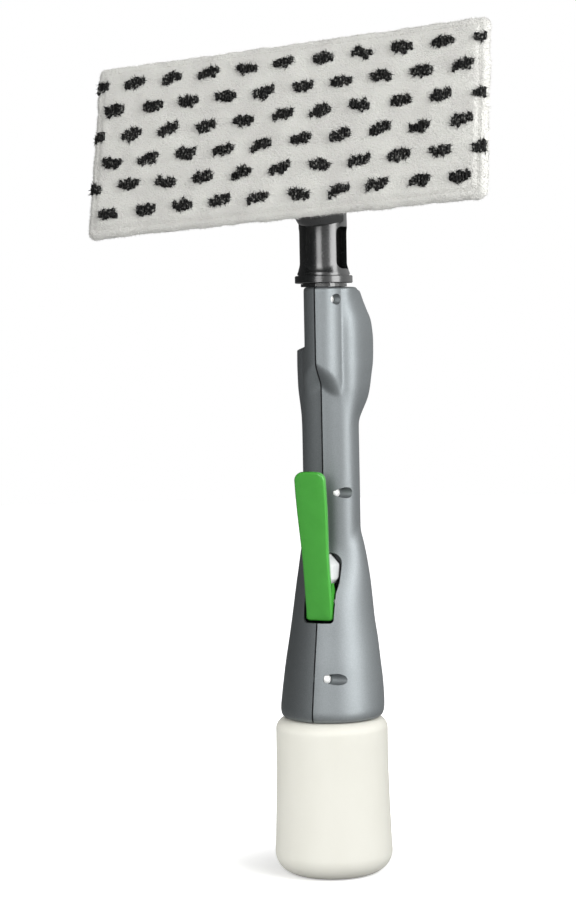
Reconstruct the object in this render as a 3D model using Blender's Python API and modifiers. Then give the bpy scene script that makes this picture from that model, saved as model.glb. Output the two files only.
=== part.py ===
"""A window cleaning wand: a pump handle that stands on its screw-on bottle and carries a jointed pad."""

import math

import bmesh
import bpy
import numpy as np
from mathutils import Matrix, Vector

OBJECT_NAME = "window_cleaning_wand"

# The bottle stands on the floor at the origin. Heights are above that floor.
BOTTLE_RADIUS = 0.0363
BOTTLE_SHOULDER_RADIUS = 0.0346
BOTTLE_BASE_FILLET = 0.0130
BOTTLE_SHOULDER_FILLET = 0.0070
BOTTLE_SHOULDER_HEIGHT = 0.0952
BOTTLE_NECK_FOOT_RISE = 0.0028
BOTTLE_NECK_RADIUS = 0.0170
BOTTLE_NECK_LENGTH = 0.0160
BOTTLE_WALL = 0.0014

# Clearances. Pieces that only touch keep the seat gap, and a piece that turns or slides has the running gap.
SEAT_GAP = 0.0003
RUNNING_GAP = 0.00006
CUTTER_OVERRUN = 0.0300
WELD_DISTANCE = 0.000001

# The moulded housing. Reaches are measured forwards and backwards from the bottle's centre line.
RIM_RADIUS = 0.0326
HOUSING_HEIGHT = 0.2653
HOUSING_WALL = 0.0024
GRIP_WIDTH = 0.0354
GRIP_FRONT = 0.0072
GRIP_BACK = 0.0194
COLUMN_WIDTH = 0.0274
COLUMN_FRONT = 0.0155
POD_WIDTH = 0.0450
POD_FRONT = 0.0050
POD_BACK = 0.0400
SCOOP_DEPTH = 0.0046
TOP_EDGE = 0.0022
BULKHEAD = 0.0016
SPIGOT_SHELF_RADIUS = 0.0190

# Screws that pull the two halves together, and the recesses for their heads.
SCREW_RECESS_RADIUS = 0.0034
SCREW_BOSS_RADIUS = 0.0038
SCREW_HEAD_RADIUS = 0.0029
SCREW_HEAD_HEIGHT = 0.0018
SCREW_SHANK_RADIUS = 0.0014
SCREW_SEAT_DEPTH = 0.0060
SCREW_SHANK_LENGTH = 0.0150
SCREW_CROWN_SHARE = 0.6
TOP_SCREW_SETBACK = -0.0078
TOP_SCREW_DROP = 0.0077
MIDDLE_SCREW_SETBACK = -0.0031
MIDDLE_SCREW_SHARE = 0.5213
BOTTOM_SCREW_SETBACK = -0.0232
BOTTOM_SCREW_RISE = 0.0262

# The trigger and its pivot.
TRIGGER_TOP_WIDTH = 0.0198
TRIGGER_BOTTOM_WIDTH = 0.0178
TRIGGER_BOTTOM_DROP = 0.0115
TRIGGER_LENGTH = 0.0920
TRIGGER_THICKNESS = 0.0034
TRIGGER_TOP_FILLET = 0.0045
TRIGGER_BOTTOM_FILLET = 0.0020
TRIGGER_EDGE = 0.0008
TRIGGER_FRONT_AT_TOP = 0.0304
TRIGGER_FRONT_AT_BOTTOM = 0.0170
PIVOT_SETBACK = -0.0120
PIVOT_SHARE = 0.27214
PIVOT_PIN_RADIUS = 0.0015
PIVOT_PIN_LENGTH = 0.0256
EAR_THICKNESS = 0.0020
EAR_EYE_RADIUS = 0.0038
EAR_RISE = 0.0115
EAR_DROP = 0.0105
PIN_POST_RADIUS = 0.0040

# The opening in the housing's front that the trigger works in.
SLOT_BOTTOM_DROP = 0.0124
SLOT_SHOULDER_RISE = 0.0065
SLOT_TOP_RISE = 0.0152
SLOT_WIDTH = 0.0218
SLOT_BOTTOM_WIDTH = 0.0190
SLOT_TOP_FILLET = 0.0050
SLOT_BOTTOM_FILLET = 0.0025
SLOT_FRONT = 0.0400
SLOT_BACK = 0.0050

# The pump lies across the handle, with its bore pointing forwards.
PUMP_RISE = 0.0200
CAP_RADIUS = 0.0095
CAP_DOME = 0.0030
CAP_LENGTH = 0.0115
CAP_WALL = 0.0015
CAP_CROWN = 0.0046
CAP_FRONT = 0.0180
PUMP_OUTER_RADIUS = 0.0076
PUMP_BORE_RADIUS = 0.0060
PUMP_FRONT = 0.0088
PUMP_BACK = 0.0195
PUMP_END_WALL = 0.0069
PUMP_PORT_RADIUS = 0.0010
PUMP_COLLAR_SHARE = 0.4
PUMP_COLLAR_REACH_SHARE = 0.62
PISTON_ROD_RADIUS = 0.0030
PISTON_HEAD_RADIUS = 0.0056
PISTON_HEAD_LENGTH = 0.0034
PISTON_HEAD_SETBACK = 0.0010
PISTON_GROOVE_RADIUS = 0.0044
PISTON_GROOVE_LENGTH = 0.0018
SPRING_RADIUS = 0.0042
SPRING_WIRE_RADIUS = 0.0004
SPRING_TURNS = 4
NIPPLE_RADIUS = 0.0031
NIPPLE_BORE_RADIUS = 0.0021
NIPPLE_REACH = 0.0120
NIPPLE_SETBACK = 0.0160
VALVE_RADIUS = 0.0019
VALVE_LENGTH = 0.0036
VALVE_TIP_SHARE = 0.3
VALVE_SEAT_SHARE = 0.7
TUBE_RADIUS = 0.0020
DIP_ROUTE_SHARES = (0.15, 0.55, 0.95)
DIP_DROP_SHARE = 0.6
DELIVERY_ROUTE_SHARES = (0.25, 0.62, 0.85)
DELIVERY_START_SHARE = 1.3
DELIVERY_BEND_SHARE = 0.45

# The socket that the bottle screws into, held between two ribs.
SOCKET_SKIRT_RADIUS = 0.0205
SOCKET_SKIRT_LENGTH = 0.0190
SOCKET_FLANGE_RADIUS = 0.0256
SOCKET_FLANGE_THICKNESS = 0.0024
SOCKET_FLANGE_RISE = 0.0124
SOCKET_ROOF = 0.0022
SOCKET_HOLE_RADIUS = 0.0090
THREAD_CLEARANCE = 0.0004
GASKET_THICKNESS = 0.0014

# The dip tube and its strainer.
FILTER_RADIUS = 0.0040
FILTER_LENGTH = 0.0090
FILTER_LIFT = 0.0034
FILTER_SOCKET_DEPTH = 0.0050
FILTER_NECK_SHARE = 0.8
FILTER_SHOULDER_SHARE = 0.3

# The spray nozzle on the pod's upper back.
NOZZLE_SETBACK = 0.0378
NOZZLE_DROP = 0.0196
NOZZLE_TILT = math.radians(20)
NOZZLE_RADIUS = 0.0050
NOZZLE_STAND_OUT = 0.0012
NOZZLE_INNER_LENGTH = 0.0130
NOZZLE_FLANGE_RADIUS = 0.0072
NOZZLE_FLANGE_THICKNESS = 0.0014
NOZZLE_FLANGE_DEPTH = 0.0044
NOZZLE_TIP_RADIUS = 0.0034
NOZZLE_TIP_LENGTH = 0.0034
NOZZLE_ORIFICE_RADIUS = 0.0006
NOZZLE_CAP_RADIUS = 0.0066
NOZZLE_CAP_LENGTH = 0.0052
NOZZLE_CAP_EDGE = 0.0008

# The neck: a plug on the handle, and the sleeve and arm that it carries.
SPIGOT_RADIUS = 0.0104
SPIGOT_LENGTH = 0.0200
SPIGOT_FLANGE_RADIUS = 0.0143
SPIGOT_FLANGE_THICKNESS = 0.0018
SPIGOT_RING_RADIUS = 0.0130
SPIGOT_PLUG_RADIUS = 0.0122
SPIGOT_PLUG_RISE = 0.0104
SPIGOT_BORE_RADIUS = 0.0080
SLEEVE_RADIUS = 0.0150
SLEEVE_BORE_RADIUS = 0.0126
SLEEVE_LIFT = 0.0025
SLEEVE_COLLAR_RADIUS = 0.0179
SLEEVE_COLLAR_HEIGHT = 0.0046
SLEEVE_GROOVE_RADIUS = 0.0158
SLEEVE_GROOVE_HEIGHT = 0.0006
SLEEVE_FLARE_RADIUS = 0.0163
SLEEVE_FLARE_HEIGHT = 0.0070
SLEEVE_BORE_DEPTH = 0.0349
WINDOW_WIDTH = 0.0172
WINDOW_FILLET = 0.0040
WINDOW_RISE = 0.0086
WINDOW_HEIGHT = 0.0260
ARM_START_RISE = 0.0294
ARM_FLARE = 0.0012
ARM_REACH = 0.0330
ARM_RISE = 0.0315
ARM_END_RADIUS = 0.0092
ARM_BEND_SHARE = 1.5
ARM_FLARE_SHARE = 0.25
SLEEVE_FADE_SHARE = 0.7
ARM_STEPS = 9

# The two-axis joint behind the pad, and how the head stands in the photograph.
ROLL_LIFT = 0.0115
ROLL_REST = math.radians(-2.9)
PITCH_RISE = 0.0100
PITCH_REST = math.radians(-16.5)
JOINT_PIN_RADIUS = 0.0020
JOINT_PIN_HEAD_RADIUS = 0.0032
JOINT_PIN_HEAD = 0.0012
FORK_EYE_RADIUS = 0.0062
FORK_TINE = 0.0040
FORK_FOOT_DROP = 0.0150
BLOCK_EYE_RADIUS = 0.0060
BLOCK_EYE_THICKNESS = 0.0090
BLOCK_BARREL_RADIUS = 0.0052
BLOCK_BARREL_LENGTH = 0.0204
BRACKET_EAR_THICKNESS = 0.0034
BRACKET_EAR_RADIUS = 0.0055
BRACKET_EAR_FOOT = 0.0080

# The head, measured from the pitch pin forwards to the pad's face.
PAD_WIDTH = 0.2560
PAD_HEIGHT = 0.1140
PAD_THICKNESS = 0.0062
PAD_CORNER = 0.0045
PAD_FACE_REACH = 0.0250
PAD_RIM_SHARE = 0.8
FACE_CLOTH = 0.0008
PLATE_WIDTH = 0.2360
PLATE_HEIGHT = 0.0900
PLATE_THICKNESS = 0.0030
PLATE_CORNER = 0.0100
PLATE_RIB_HEIGHT = 0.0034
PLATE_RIB_THICKNESS = 0.0022
PLATE_RIB_INSET = 0.0060
PLATE_RIB_SHARES = (-0.414, -0.279, 0.279, 0.414)
HOOK_STRIP_WIDTH = 0.2200
HOOK_STRIP_HEIGHT = 0.0220
HOOK_STRIP_THICKNESS = 0.0012
HOOK_STRIP_SPACING = 0.0540
TUFT_COLUMN_PITCH = 0.0251
TUFT_ROW_PITCH = 0.0171
TUFT_WIDTH = 0.0135
TUFT_HEIGHT = 0.0080
STRAND_RADIUS = 0.0011
STRAND_TIP_RADIUS = 0.0005
STRAND_LENGTH = 0.0026
STRAND_ROOT = 0.0004

# Places along the housing's height, and how far each of its outlines has grown there.
RING_SHARES = (
    0.0, 0.006, 0.022, 0.080, 0.150, 0.220, 0.265, 0.300, 0.330, 0.360, 0.390, 0.415, 0.440, 0.465,
    0.500, 0.600, 0.690, 0.715, 0.735, 0.752, 0.768, 0.784, 0.800, 0.818, 0.850, 0.864, 0.890, 0.918,
    0.945, 0.969, 0.9917,
)
RIM_ROUNDING_SHARES = ((0.0, 0.925), (0.004, 0.962), (0.012, 0.988), (0.026, 1.0), (1.0, 1.0))
BASE_WIDTH_SHARES = (
    (0.0, 1.0), (0.037, 0.988), (0.084, 0.955), (0.129, 0.910), (0.178, 0.855), (0.223, 0.800),
    (0.271, 0.755), (0.317, 0.715), (0.363, 0.665), (0.389, 0.630), (0.412, 0.590), (0.434, 0.540),
    (0.457, 0.470), (0.480, 0.360), (0.510, 0.200), (1.0, 0.200),
)
BASE_CENTRE_SHARES = (
    (0.0, 0.15), (0.037, 0.38), (0.084, 0.59), (0.129, 0.67), (0.178, 0.87), (0.223, 0.90), (0.271, 1.05),
    (0.317, 1.1), (0.363, 1.05), (0.412, 1.0), (1.0, 1.0),
)
BASE_FRONT_SHARES = (
    (0.0, 0.966), (0.037, 0.915), (0.084, 0.850), (0.129, 0.790), (0.178, 0.710), (0.223, 0.645),
    (0.247, 0.610), (0.271, 0.565), (0.295, 0.505), (0.317, 0.430), (0.340, 0.345), (0.363, 0.280),
    (0.389, 0.235), (0.412, 0.210), (0.480, 0.150), (1.0, 0.100),
)
POD_WIDTH_SHARES = (
    (0.0, 0.70), (0.65, 0.72), (0.691, 0.79), (0.7135, 0.845), (0.738, 0.91), (0.7625, 0.955), (0.785, 0.975),
    (0.830, 1.0), (0.872, 1.0), (0.902, 0.985), (0.925, 0.955), (0.947, 0.89), (0.970, 0.83), (0.989, 0.78),
    (1.0, 0.73),
)
POD_CENTRE_SHARES = (
    (0.0, 0.14), (0.65, 0.14), (0.691, 0.22), (0.7135, 0.30), (0.738, 0.39), (0.7625, 0.425), (0.785, 0.45),
    (0.830, 0.51), (0.872, 0.525), (0.902, 0.51), (0.925, 0.487), (0.947, 0.425), (0.970, 0.35), (1.0, 0.29),
)
POD_BACK_SHARES = (
    (0.0, 0.40), (0.65, 0.45), (0.691, 0.56), (0.7135, 0.675), (0.738, 0.80), (0.7625, 0.8625), (0.785, 0.90),
    (0.830, 0.985), (0.872, 1.0), (0.902, 0.985), (0.925, 0.95), (0.947, 0.875), (0.970, 0.80), (0.989, 0.74),
    (1.0, 0.68),
)
UNDERCUT_SHARES = (0.765, 0.826)
UNDERCUT_DROP_SHARE = 0.050
LEDGE_SHARES = (0.852, 0.864)
SCOOP_FADE_SHARES = (0.940, 0.990)
SCOOP_WINDOW_SHARES = (0.60, 0.90)
RING_POINTS = 34
GRIP_SQUARENESS = 3.3
RIM_SQUARENESS = 2.0
COLUMN_SQUARENESS = 2.1
POD_FRONT_SQUARENESS = 3.4
POD_BACK_SQUARENESS = 2.2
UNION_SHARPNESS = 60
HALVINGS = 40
ROUND_STEPS = 28
SMALL_ROUND_STEPS = 16
TUFT_ROWS = 6
TUFT_COLUMNS = 11
TUFT_STRAND_COLUMNS = 3
TUFT_STRAND_ROWS = 2
SHARP_ANGLE = math.radians(35)

# Sizes that follow from the ones above.
HOUSING_BOTTOM = BOTTLE_SHOULDER_HEIGHT + SEAT_GAP * 2
HOUSING_TOP = HOUSING_BOTTOM + HOUSING_HEIGHT
TOP_SCREW_HEIGHT = HOUSING_TOP - TOP_SCREW_DROP
MIDDLE_SCREW_HEIGHT = HOUSING_BOTTOM + HOUSING_HEIGHT * MIDDLE_SCREW_SHARE
BOTTOM_SCREW_HEIGHT = HOUSING_BOTTOM + BOTTOM_SCREW_RISE
PIVOT_HEIGHT = HOUSING_BOTTOM + HOUSING_HEIGHT * PIVOT_SHARE
TRIGGER_BOTTOM_HEIGHT = PIVOT_HEIGHT - TRIGGER_BOTTOM_DROP
PUMP_HEIGHT = PIVOT_HEIGHT + PUMP_RISE
SLOT_BOTTOM = PIVOT_HEIGHT - SLOT_BOTTOM_DROP
SLOT_SHOULDER = PIVOT_HEIGHT + SLOT_SHOULDER_RISE
SLOT_TOP = PUMP_HEIGHT + SLOT_TOP_RISE
SOCKET_FLANGE_HEIGHT = HOUSING_BOTTOM + SOCKET_FLANGE_RISE
NOZZLE_HEIGHT = HOUSING_TOP - NOZZLE_DROP
SPIGOT_PLUG_TOP = HOUSING_TOP + SPIGOT_PLUG_RISE
SLEEVE_BOTTOM = HOUSING_TOP + SLEEVE_LIFT
SLEEVE_BORE_TOP = SLEEVE_BOTTOM + SLEEVE_BORE_DEPTH
WINDOW_BOTTOM = SLEEVE_BOTTOM + WINDOW_RISE
WINDOW_TOP = WINDOW_BOTTOM + WINDOW_HEIGHT
ARM_START_HEIGHT = SLEEVE_BOTTOM + ARM_START_RISE
ROLL_HEIGHT = ARM_START_HEIGHT + ARM_RISE + ROLL_LIFT
ROLL_SETBACK = -ARM_REACH
BOTTLE_TOP = BOTTLE_SHOULDER_HEIGHT + BOTTLE_NECK_FOOT_RISE + BOTTLE_NECK_LENGTH
PIN_BORE_RADIUS = PIVOT_PIN_RADIUS + RUNNING_GAP
JOINT_BORE_RADIUS = JOINT_PIN_RADIUS + RUNNING_GAP
NOZZLE_AXIS = Vector((0, math.cos(NOZZLE_TILT), math.sin(NOZZLE_TILT)))
NOZZLE_POINT = Vector((0, NOZZLE_SETBACK, NOZZLE_HEIGHT))
TO_Y = Matrix.Rotation(math.radians(-90), 4, "X")
TO_X = Matrix.Rotation(math.radians(90), 4, "Y")
PLATE_BACK_REACH = (
    PAD_FACE_REACH - FACE_CLOTH - PAD_THICKNESS - HOOK_STRIP_THICKNESS - PLATE_THICKNESS - SEAT_GAP * 3
)


def empty_the_file():
    """Removes whatever objects the file starts with."""
    for thing in list(bpy.data.objects):
        bpy.data.objects.remove(thing)


def new_collection(name):
    """A collection linked to the scene."""
    collection = bpy.data.collections.new(name)
    bpy.context.scene.collection.children.link(collection)
    return collection


empty_the_file()
PARTS = new_collection(OBJECT_NAME)
CUTTERS = new_collection(OBJECT_NAME + "_cutters")


def plastic(name, colour, roughness, metallic=0.0):
    """A Principled BSDF of one colour."""
    material = bpy.data.materials.new(name)
    material.use_nodes = True
    shader = material.node_tree.nodes["Principled BSDF"]
    shader.inputs["Base Color"].default_value = (*colour, 1)
    shader.inputs["Roughness"].default_value = roughness
    shader.inputs["Metallic"].default_value = metallic
    return material


HANDLE_GREY = plastic("handle_grey_abs", (0.26, 0.29, 0.30), 0.35, 0.3)
NECK_GREY = plastic("neck_dark_abs", (0.025, 0.028, 0.028), 0.25)
TRIGGER_GREEN = plastic("trigger_green_abs", (0.06, 0.36, 0.045), 0.35)
WHITE_ACETAL = plastic("white_acetal", (0.80, 0.82, 0.81), 0.4)
CLEAR_HDPE = plastic("bottle_natural_hdpe", (0.80, 0.81, 0.74), 0.5)
STEEL = plastic("zinc_plated_steel", (0.62, 0.62, 0.60), 0.3, 1.0)
RUBBER = plastic("black_rubber", (0.02, 0.02, 0.02), 0.7)
TUBE_PE = plastic("clear_tube_pe", (0.75, 0.77, 0.77), 0.3)
PAD_CLOTH = plastic("pad_microfibre", (0.66, 0.65, 0.63), 0.9)
TUFT_FIBRE = plastic("tufted_face_cloth", (0.70, 0.68, 0.65), 0.9)
HOOK_TAPE = plastic("hook_tape_nylon", (0.05, 0.05, 0.05), 0.8)


def add_object(name, mesh, material=None, collection=None, parent=None, place=None):
    """Links a mesh under a name, with its material, its parent and its place."""
    thing = bpy.data.objects.new(name, mesh)
    (collection or PARTS).objects.link(thing)
    if material:
        mesh.materials.append(material)
    thing.parent = parent
    if place is not None:
        thing.matrix_local = place
    return thing


def smooth(mesh):
    """Shades a mesh smooth, with its sharp edges kept."""
    mesh.shade_smooth()
    mesh.set_sharp_from_angle(angle=SHARP_ANGLE)


def mesh_from(build, name):
    """Runs a bmesh builder and gives the mesh that it made."""
    mesh = bpy.data.meshes.new(name)
    form = bmesh.new()
    build(form)
    form.to_mesh(mesh)
    form.free()
    return mesh


def mark_cutter(thing):
    """Hides a cutting or guide solid from renders."""
    thing.hide_render = True
    thing.display_type = "WIRE"
    return thing


def combine(thing, other, operation):
    """Cuts or joins another solid with an exact Boolean."""
    modifier = thing.modifiers.new(operation.lower() + "_" + other.name, "BOOLEAN")
    modifier.operation = operation
    modifier.solver = "EXACT"
    modifier.object = other
    return thing


def bevel(thing, width, segments=1, angle=math.radians(40)):
    """Rounds the edges that are sharper than the angle."""
    modifier = thing.modifiers.new("bevel", "BEVEL")
    modifier.width = width
    modifier.segments = segments
    modifier.limit_method = "ANGLE"
    modifier.angle_limit = angle
    return thing


def turned(
    name, profile, material=None, steps=ROUND_STEPS, place=None, parent=None, closed=False, cutter=False
):
    """Turns a profile of radius and height about Z. It runs up the inner side and down the outer side."""
    mesh = bpy.data.meshes.new(name)
    points = [(radius, 0, height) for radius, height in profile]
    count = len(points)
    edges = [(i, i + 1) for i in range(count - 1)]
    if closed:
        edges.append((count - 1, 0))
    mesh.from_pydata(points, edges, [])
    thing = add_object(name, mesh, material, CUTTERS if cutter else PARTS, parent, place)
    screw = thing.modifiers.new("screw", "SCREW")
    screw.axis = "Z"
    screw.angle = math.tau
    screw.steps = steps
    screw.render_steps = steps
    screw.use_merge_vertices = True
    screw.merge_threshold = WELD_DISTANCE
    screw.use_smooth_shade = True
    if cutter:
        mark_cutter(thing)
    return thing


def arc(centre, radius, start, end, steps):
    """Points on an arc of a profile, from one angle to another in degrees."""
    angles = [math.radians(start + (end - start) * i / steps) for i in range(steps + 1)]
    return [(centre[0] + radius * math.cos(a), centre[1] + radius * math.sin(a)) for a in angles]


def rod_mesh(form, radius, length, place, steps=SMALL_ROUND_STEPS):
    """Adds a closed cylinder to a bmesh, centred on its place, with its length along the place's Z."""
    bmesh.ops.create_cone(
        form, cap_ends=True, segments=steps, radius1=radius, radius2=radius, depth=length, matrix=place
    )


def rod(name, radius, length, place, material=None, cutter=False, parent=None, steps=SMALL_ROUND_STEPS):
    """A cylinder as an object."""
    mesh = mesh_from(lambda form: rod_mesh(form, radius, length, Matrix(), steps), name)
    smooth(mesh)
    thing = add_object(name, mesh, material, CUTTERS if cutter else PARTS, parent, place)
    return mark_cutter(thing) if cutter else thing


def box_mesh(form, size, centre):
    """Adds a closed box to a bmesh."""
    place = Matrix.Translation(centre) @ Matrix.Diagonal((*size, 1))
    bmesh.ops.create_cube(form, size=1, matrix=place)


def plain_mesh(curve):
    """The mesh of a curve, with its caps welded on and its faces turned outwards."""
    drawn = bpy.data.objects.new(curve.name, curve)
    CUTTERS.objects.link(drawn)
    graph = bpy.context.evaluated_depsgraph_get()
    mesh = bpy.data.meshes.new_from_object(drawn.evaluated_get(graph))
    bpy.data.objects.remove(drawn)
    form = bmesh.new()
    form.from_mesh(mesh)
    bmesh.ops.remove_doubles(form, verts=form.verts, dist=WELD_DISTANCE)
    bmesh.ops.recalc_face_normals(form, faces=form.faces)
    form.to_mesh(mesh)
    form.free()
    return mesh


def outline_mesh(name, points, half_thickness):
    """A flat outline in X and Y, filled and given its thickness along Z."""
    curve = bpy.data.curves.new(name, "CURVE")
    curve.dimensions = "2D"
    curve.fill_mode = "BOTH"
    curve.extrude = half_thickness
    spline = curve.splines.new("POLY")
    spline.points.add(len(points) - 1)
    for point, place in zip(spline.points, points):
        point.co = (*place, 0, 1)
    spline.use_cyclic_u = True
    return plain_mesh(curve)


def rounded_outline(corners, fillets, steps=4):
    """A polygon whose corners are rounded, each with its own radius, going round anticlockwise."""
    points = []
    count = len(corners)
    for i, corner in enumerate(corners):
        here = Vector(corner)
        back = (Vector(corners[i - 1]) - here).normalized()
        ahead = (Vector(corners[(i + 1) % count]) - here).normalized()
        half = back.angle(ahead) / 2
        radius = fillets[i]
        if radius == 0:
            points.append(tuple(here))
            continue
        centre = here + (back + ahead).normalized() * (radius / math.sin(half))
        start = here + back * (radius / math.tan(half)) - centre
        turn = math.pi - 2 * half
        sign = 1 if back.cross(ahead) < 0 else -1
        for step in range(steps + 1):
            angle = sign * turn * step / steps
            spun = Matrix.Rotation(angle, 2) @ start
            points.append(tuple(centre + spun))
    return points


def table_value(shares, place):
    """Reads a table of shares at a place, with a smooth curve through its points."""
    xs = np.array([row[0] for row in shares])
    ys = np.array([row[1] for row in shares])
    slopes = np.diff(ys) / np.diff(xs)
    tangents = np.concatenate(([slopes[0]], (slopes[:-1] + slopes[1:]) / 2, [slopes[-1]]))
    flat = np.concatenate(([False], slopes[:-1] * slopes[1:] <= 0, [False]))
    tangents[flat] = 0
    i = int(np.clip(np.searchsorted(xs, place) - 1, 0, len(xs) - 2))
    span = xs[i + 1] - xs[i]
    t = (place - xs[i]) / span
    first = (2 * t**3 - 3 * t**2 + 1) * ys[i] + (t**3 - 2 * t**2 + t) * span * tangents[i]
    second = (-2 * t**3 + 3 * t**2) * ys[i + 1] + (t**3 - t**2) * span * tangents[i + 1]
    return float(first + second)


def ramp(value, low, high):
    """Climbs smoothly from 0 to 1 between two values."""
    t = min(max((value - low) / (high - low), 0), 1)
    return t * t * (3 - 2 * t)


def blend(first, second, share):
    """The value that lies a share of the way from one size to another."""
    return first + (second - first) * share


def reach_of(direction, start, inside):
    """How far a form reaches from a start point in a direction, found by halving."""
    low, high = 0.0, POD_BACK * 2
    for _ in range(HALVINGS):
        middle = (low + high) / 2
        if inside(direction[0] * middle, start + direction[1] * middle):
            low = middle
        else:
            high = middle
    return low


def squared_form(half_width, centre, front, back, front_power, back_power):
    """A test for points inside two half superellipses that share their widest place."""

    def inside(x, y):
        if y < centre:
            return (abs(x) / half_width) ** front_power + ((centre - y) / (centre + front)) ** front_power < 1
        return (abs(x) / half_width) ** back_power + ((y - centre) / (back - centre)) ** back_power < 1

    return inside


def grip_form():
    """The squarish grip, which runs the whole height inside the other forms."""
    back = (GRIP_BACK - GRIP_FRONT) / 2
    return squared_form(GRIP_WIDTH / 2, back, GRIP_FRONT, GRIP_BACK, GRIP_SQUARENESS, GRIP_SQUARENESS)


def base_form(share):
    """The round base, which narrows upwards to a shoulder and dies away into the grip."""
    half_width = RIM_RADIUS * table_value(BASE_WIDTH_SHARES, share)
    centre = (GRIP_BACK - GRIP_FRONT) / 2 * table_value(BASE_CENTRE_SHARES, share)
    front = RIM_RADIUS * table_value(BASE_FRONT_SHARES, share)
    return squared_form(half_width, centre, front, centre + half_width, RIM_SQUARENESS, RIM_SQUARENESS)


def column_form(share, aside=0.0):
    """The upright column that carries the neck, undercut where it meets the grip, and lower at its flanks."""
    front = blend(GRIP_FRONT, COLUMN_FRONT, ramp(share + UNDERCUT_DROP_SHARE * aside, *UNDERCUT_SHARES))
    return squared_form(COLUMN_WIDTH / 2, 0.0, front, COLUMN_FRONT, COLUMN_SQUARENESS, COLUMN_SQUARENESS)


def pod_form(share):
    """The pod that swells behind the column."""
    return squared_form(
        POD_WIDTH / 2 * table_value(POD_WIDTH_SHARES, share),
        POD_BACK * table_value(POD_CENTRE_SHARES, share),
        POD_FRONT,
        POD_BACK * table_value(POD_BACK_SHARES, share),
        POD_FRONT_SQUARENESS,
        POD_BACK_SQUARENESS,
    )


def scoop_depth(share, direction):
    """The hollow in the left flank, which ends below in a ledge."""
    along = ramp(share, *LEDGE_SHARES) * (1 - ramp(share, *SCOOP_FADE_SHARES))
    return SCOOP_DEPTH * along * ramp(-direction[0], *SCOOP_WINDOW_SHARES)


def housing_ring(share, inset=0.0, points=RING_POINTS):
    """One outline of the housing, as the union of the grip, the column and the pod."""
    forms = (grip_form(), base_form(share), pod_form(share))
    start = (GRIP_BACK - GRIP_FRONT) / 2
    rounding = table_value(RIM_ROUNDING_SHARES, share)
    height = HOUSING_BOTTOM + HOUSING_HEIGHT * share
    ring = []
    for i in range(points):
        angle = math.tau * (i + 0.5) / points
        direction = (math.sin(angle), -math.cos(angle))
        reaches = [reach_of(direction, start, form) for form in forms]
        reaches[-1] -= scoop_depth(share, direction)
        reaches.append(reach_of(direction, start, column_form(share, abs(direction[0]))))
        longest = max(reaches)
        joined = longest * sum((r / longest) ** UNION_SHARPNESS for r in reaches) ** (1 / UNION_SHARPNESS)
        reach = joined * rounding - inset
        ring.append(Vector((direction[0] * reach, start + direction[1] * reach, height)))
    return ring


def lid_ring(inside, height):
    """An outline of the housing's flat top, on the same rays as the outlines below it."""
    start = (GRIP_BACK - GRIP_FRONT) / 2
    ring = []
    for i in range(RING_POINTS):
        angle = math.tau * (i + 0.5) / RING_POINTS
        direction = (math.sin(angle), -math.cos(angle))
        reach = reach_of(direction, start, inside)
        ring.append(Vector((direction[0] * reach, start + direction[1] * reach, height)))
    return ring


def housing_surface(form):
    """The housing's outer surface, from its rim up to the hole for the neck's plug."""
    rings = [housing_ring(share) for share in RING_SHARES]
    edge = housing_ring(1.0, TOP_EDGE)
    hole = lid_ring(lambda x, y: math.hypot(x, y) < SPIGOT_RADIUS + SEAT_GAP, HOUSING_TOP)
    loft(form, [*rings, edge, hole])


def loft(form, rings, capped=False):
    """Joins closed rings of equal count with quads, from the lowest to the highest."""
    rows = [[form.verts.new(point) for point in ring] for ring in rings]
    count = len(rows[0])
    for low, high in zip(rows, rows[1:]):
        for i in range(count):
            j = (i + 1) % count
            form.faces.new((low[i], low[j], high[j], high[i]))
    if capped:
        form.faces.new(list(reversed(rows[0])))
        form.faces.new(rows[-1])


def washer(form, inner, outer, low, high, place, steps=ROUND_STEPS):
    """Adds a flat ring to a bmesh, between two places along its axis."""
    loops = []
    for radius, height in ((inner, low), (outer, low), (outer, high), (inner, high)):
        angles = [math.tau * i / steps for i in range(steps)]
        points = [Vector((radius * math.cos(a), radius * math.sin(a), height)) for a in angles]
        loops.append([form.verts.new(place @ point) for point in points])
    for first, second in zip(loops, loops[1:] + loops[:1]):
        for i in range(steps):
            j = (i + 1) % steps
            form.faces.new((first[j], first[i], second[i], second[j]))


def screw_places():
    """Setback and height of each screw, by name."""
    return {
        "screw_top": (TOP_SCREW_SETBACK, TOP_SCREW_HEIGHT),
        "screw_middle": (MIDDLE_SCREW_SETBACK, MIDDLE_SCREW_HEIGHT),
        "screw_bottom": (BOTTOM_SCREW_SETBACK, BOTTOM_SCREW_HEIGHT),
    }


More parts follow.
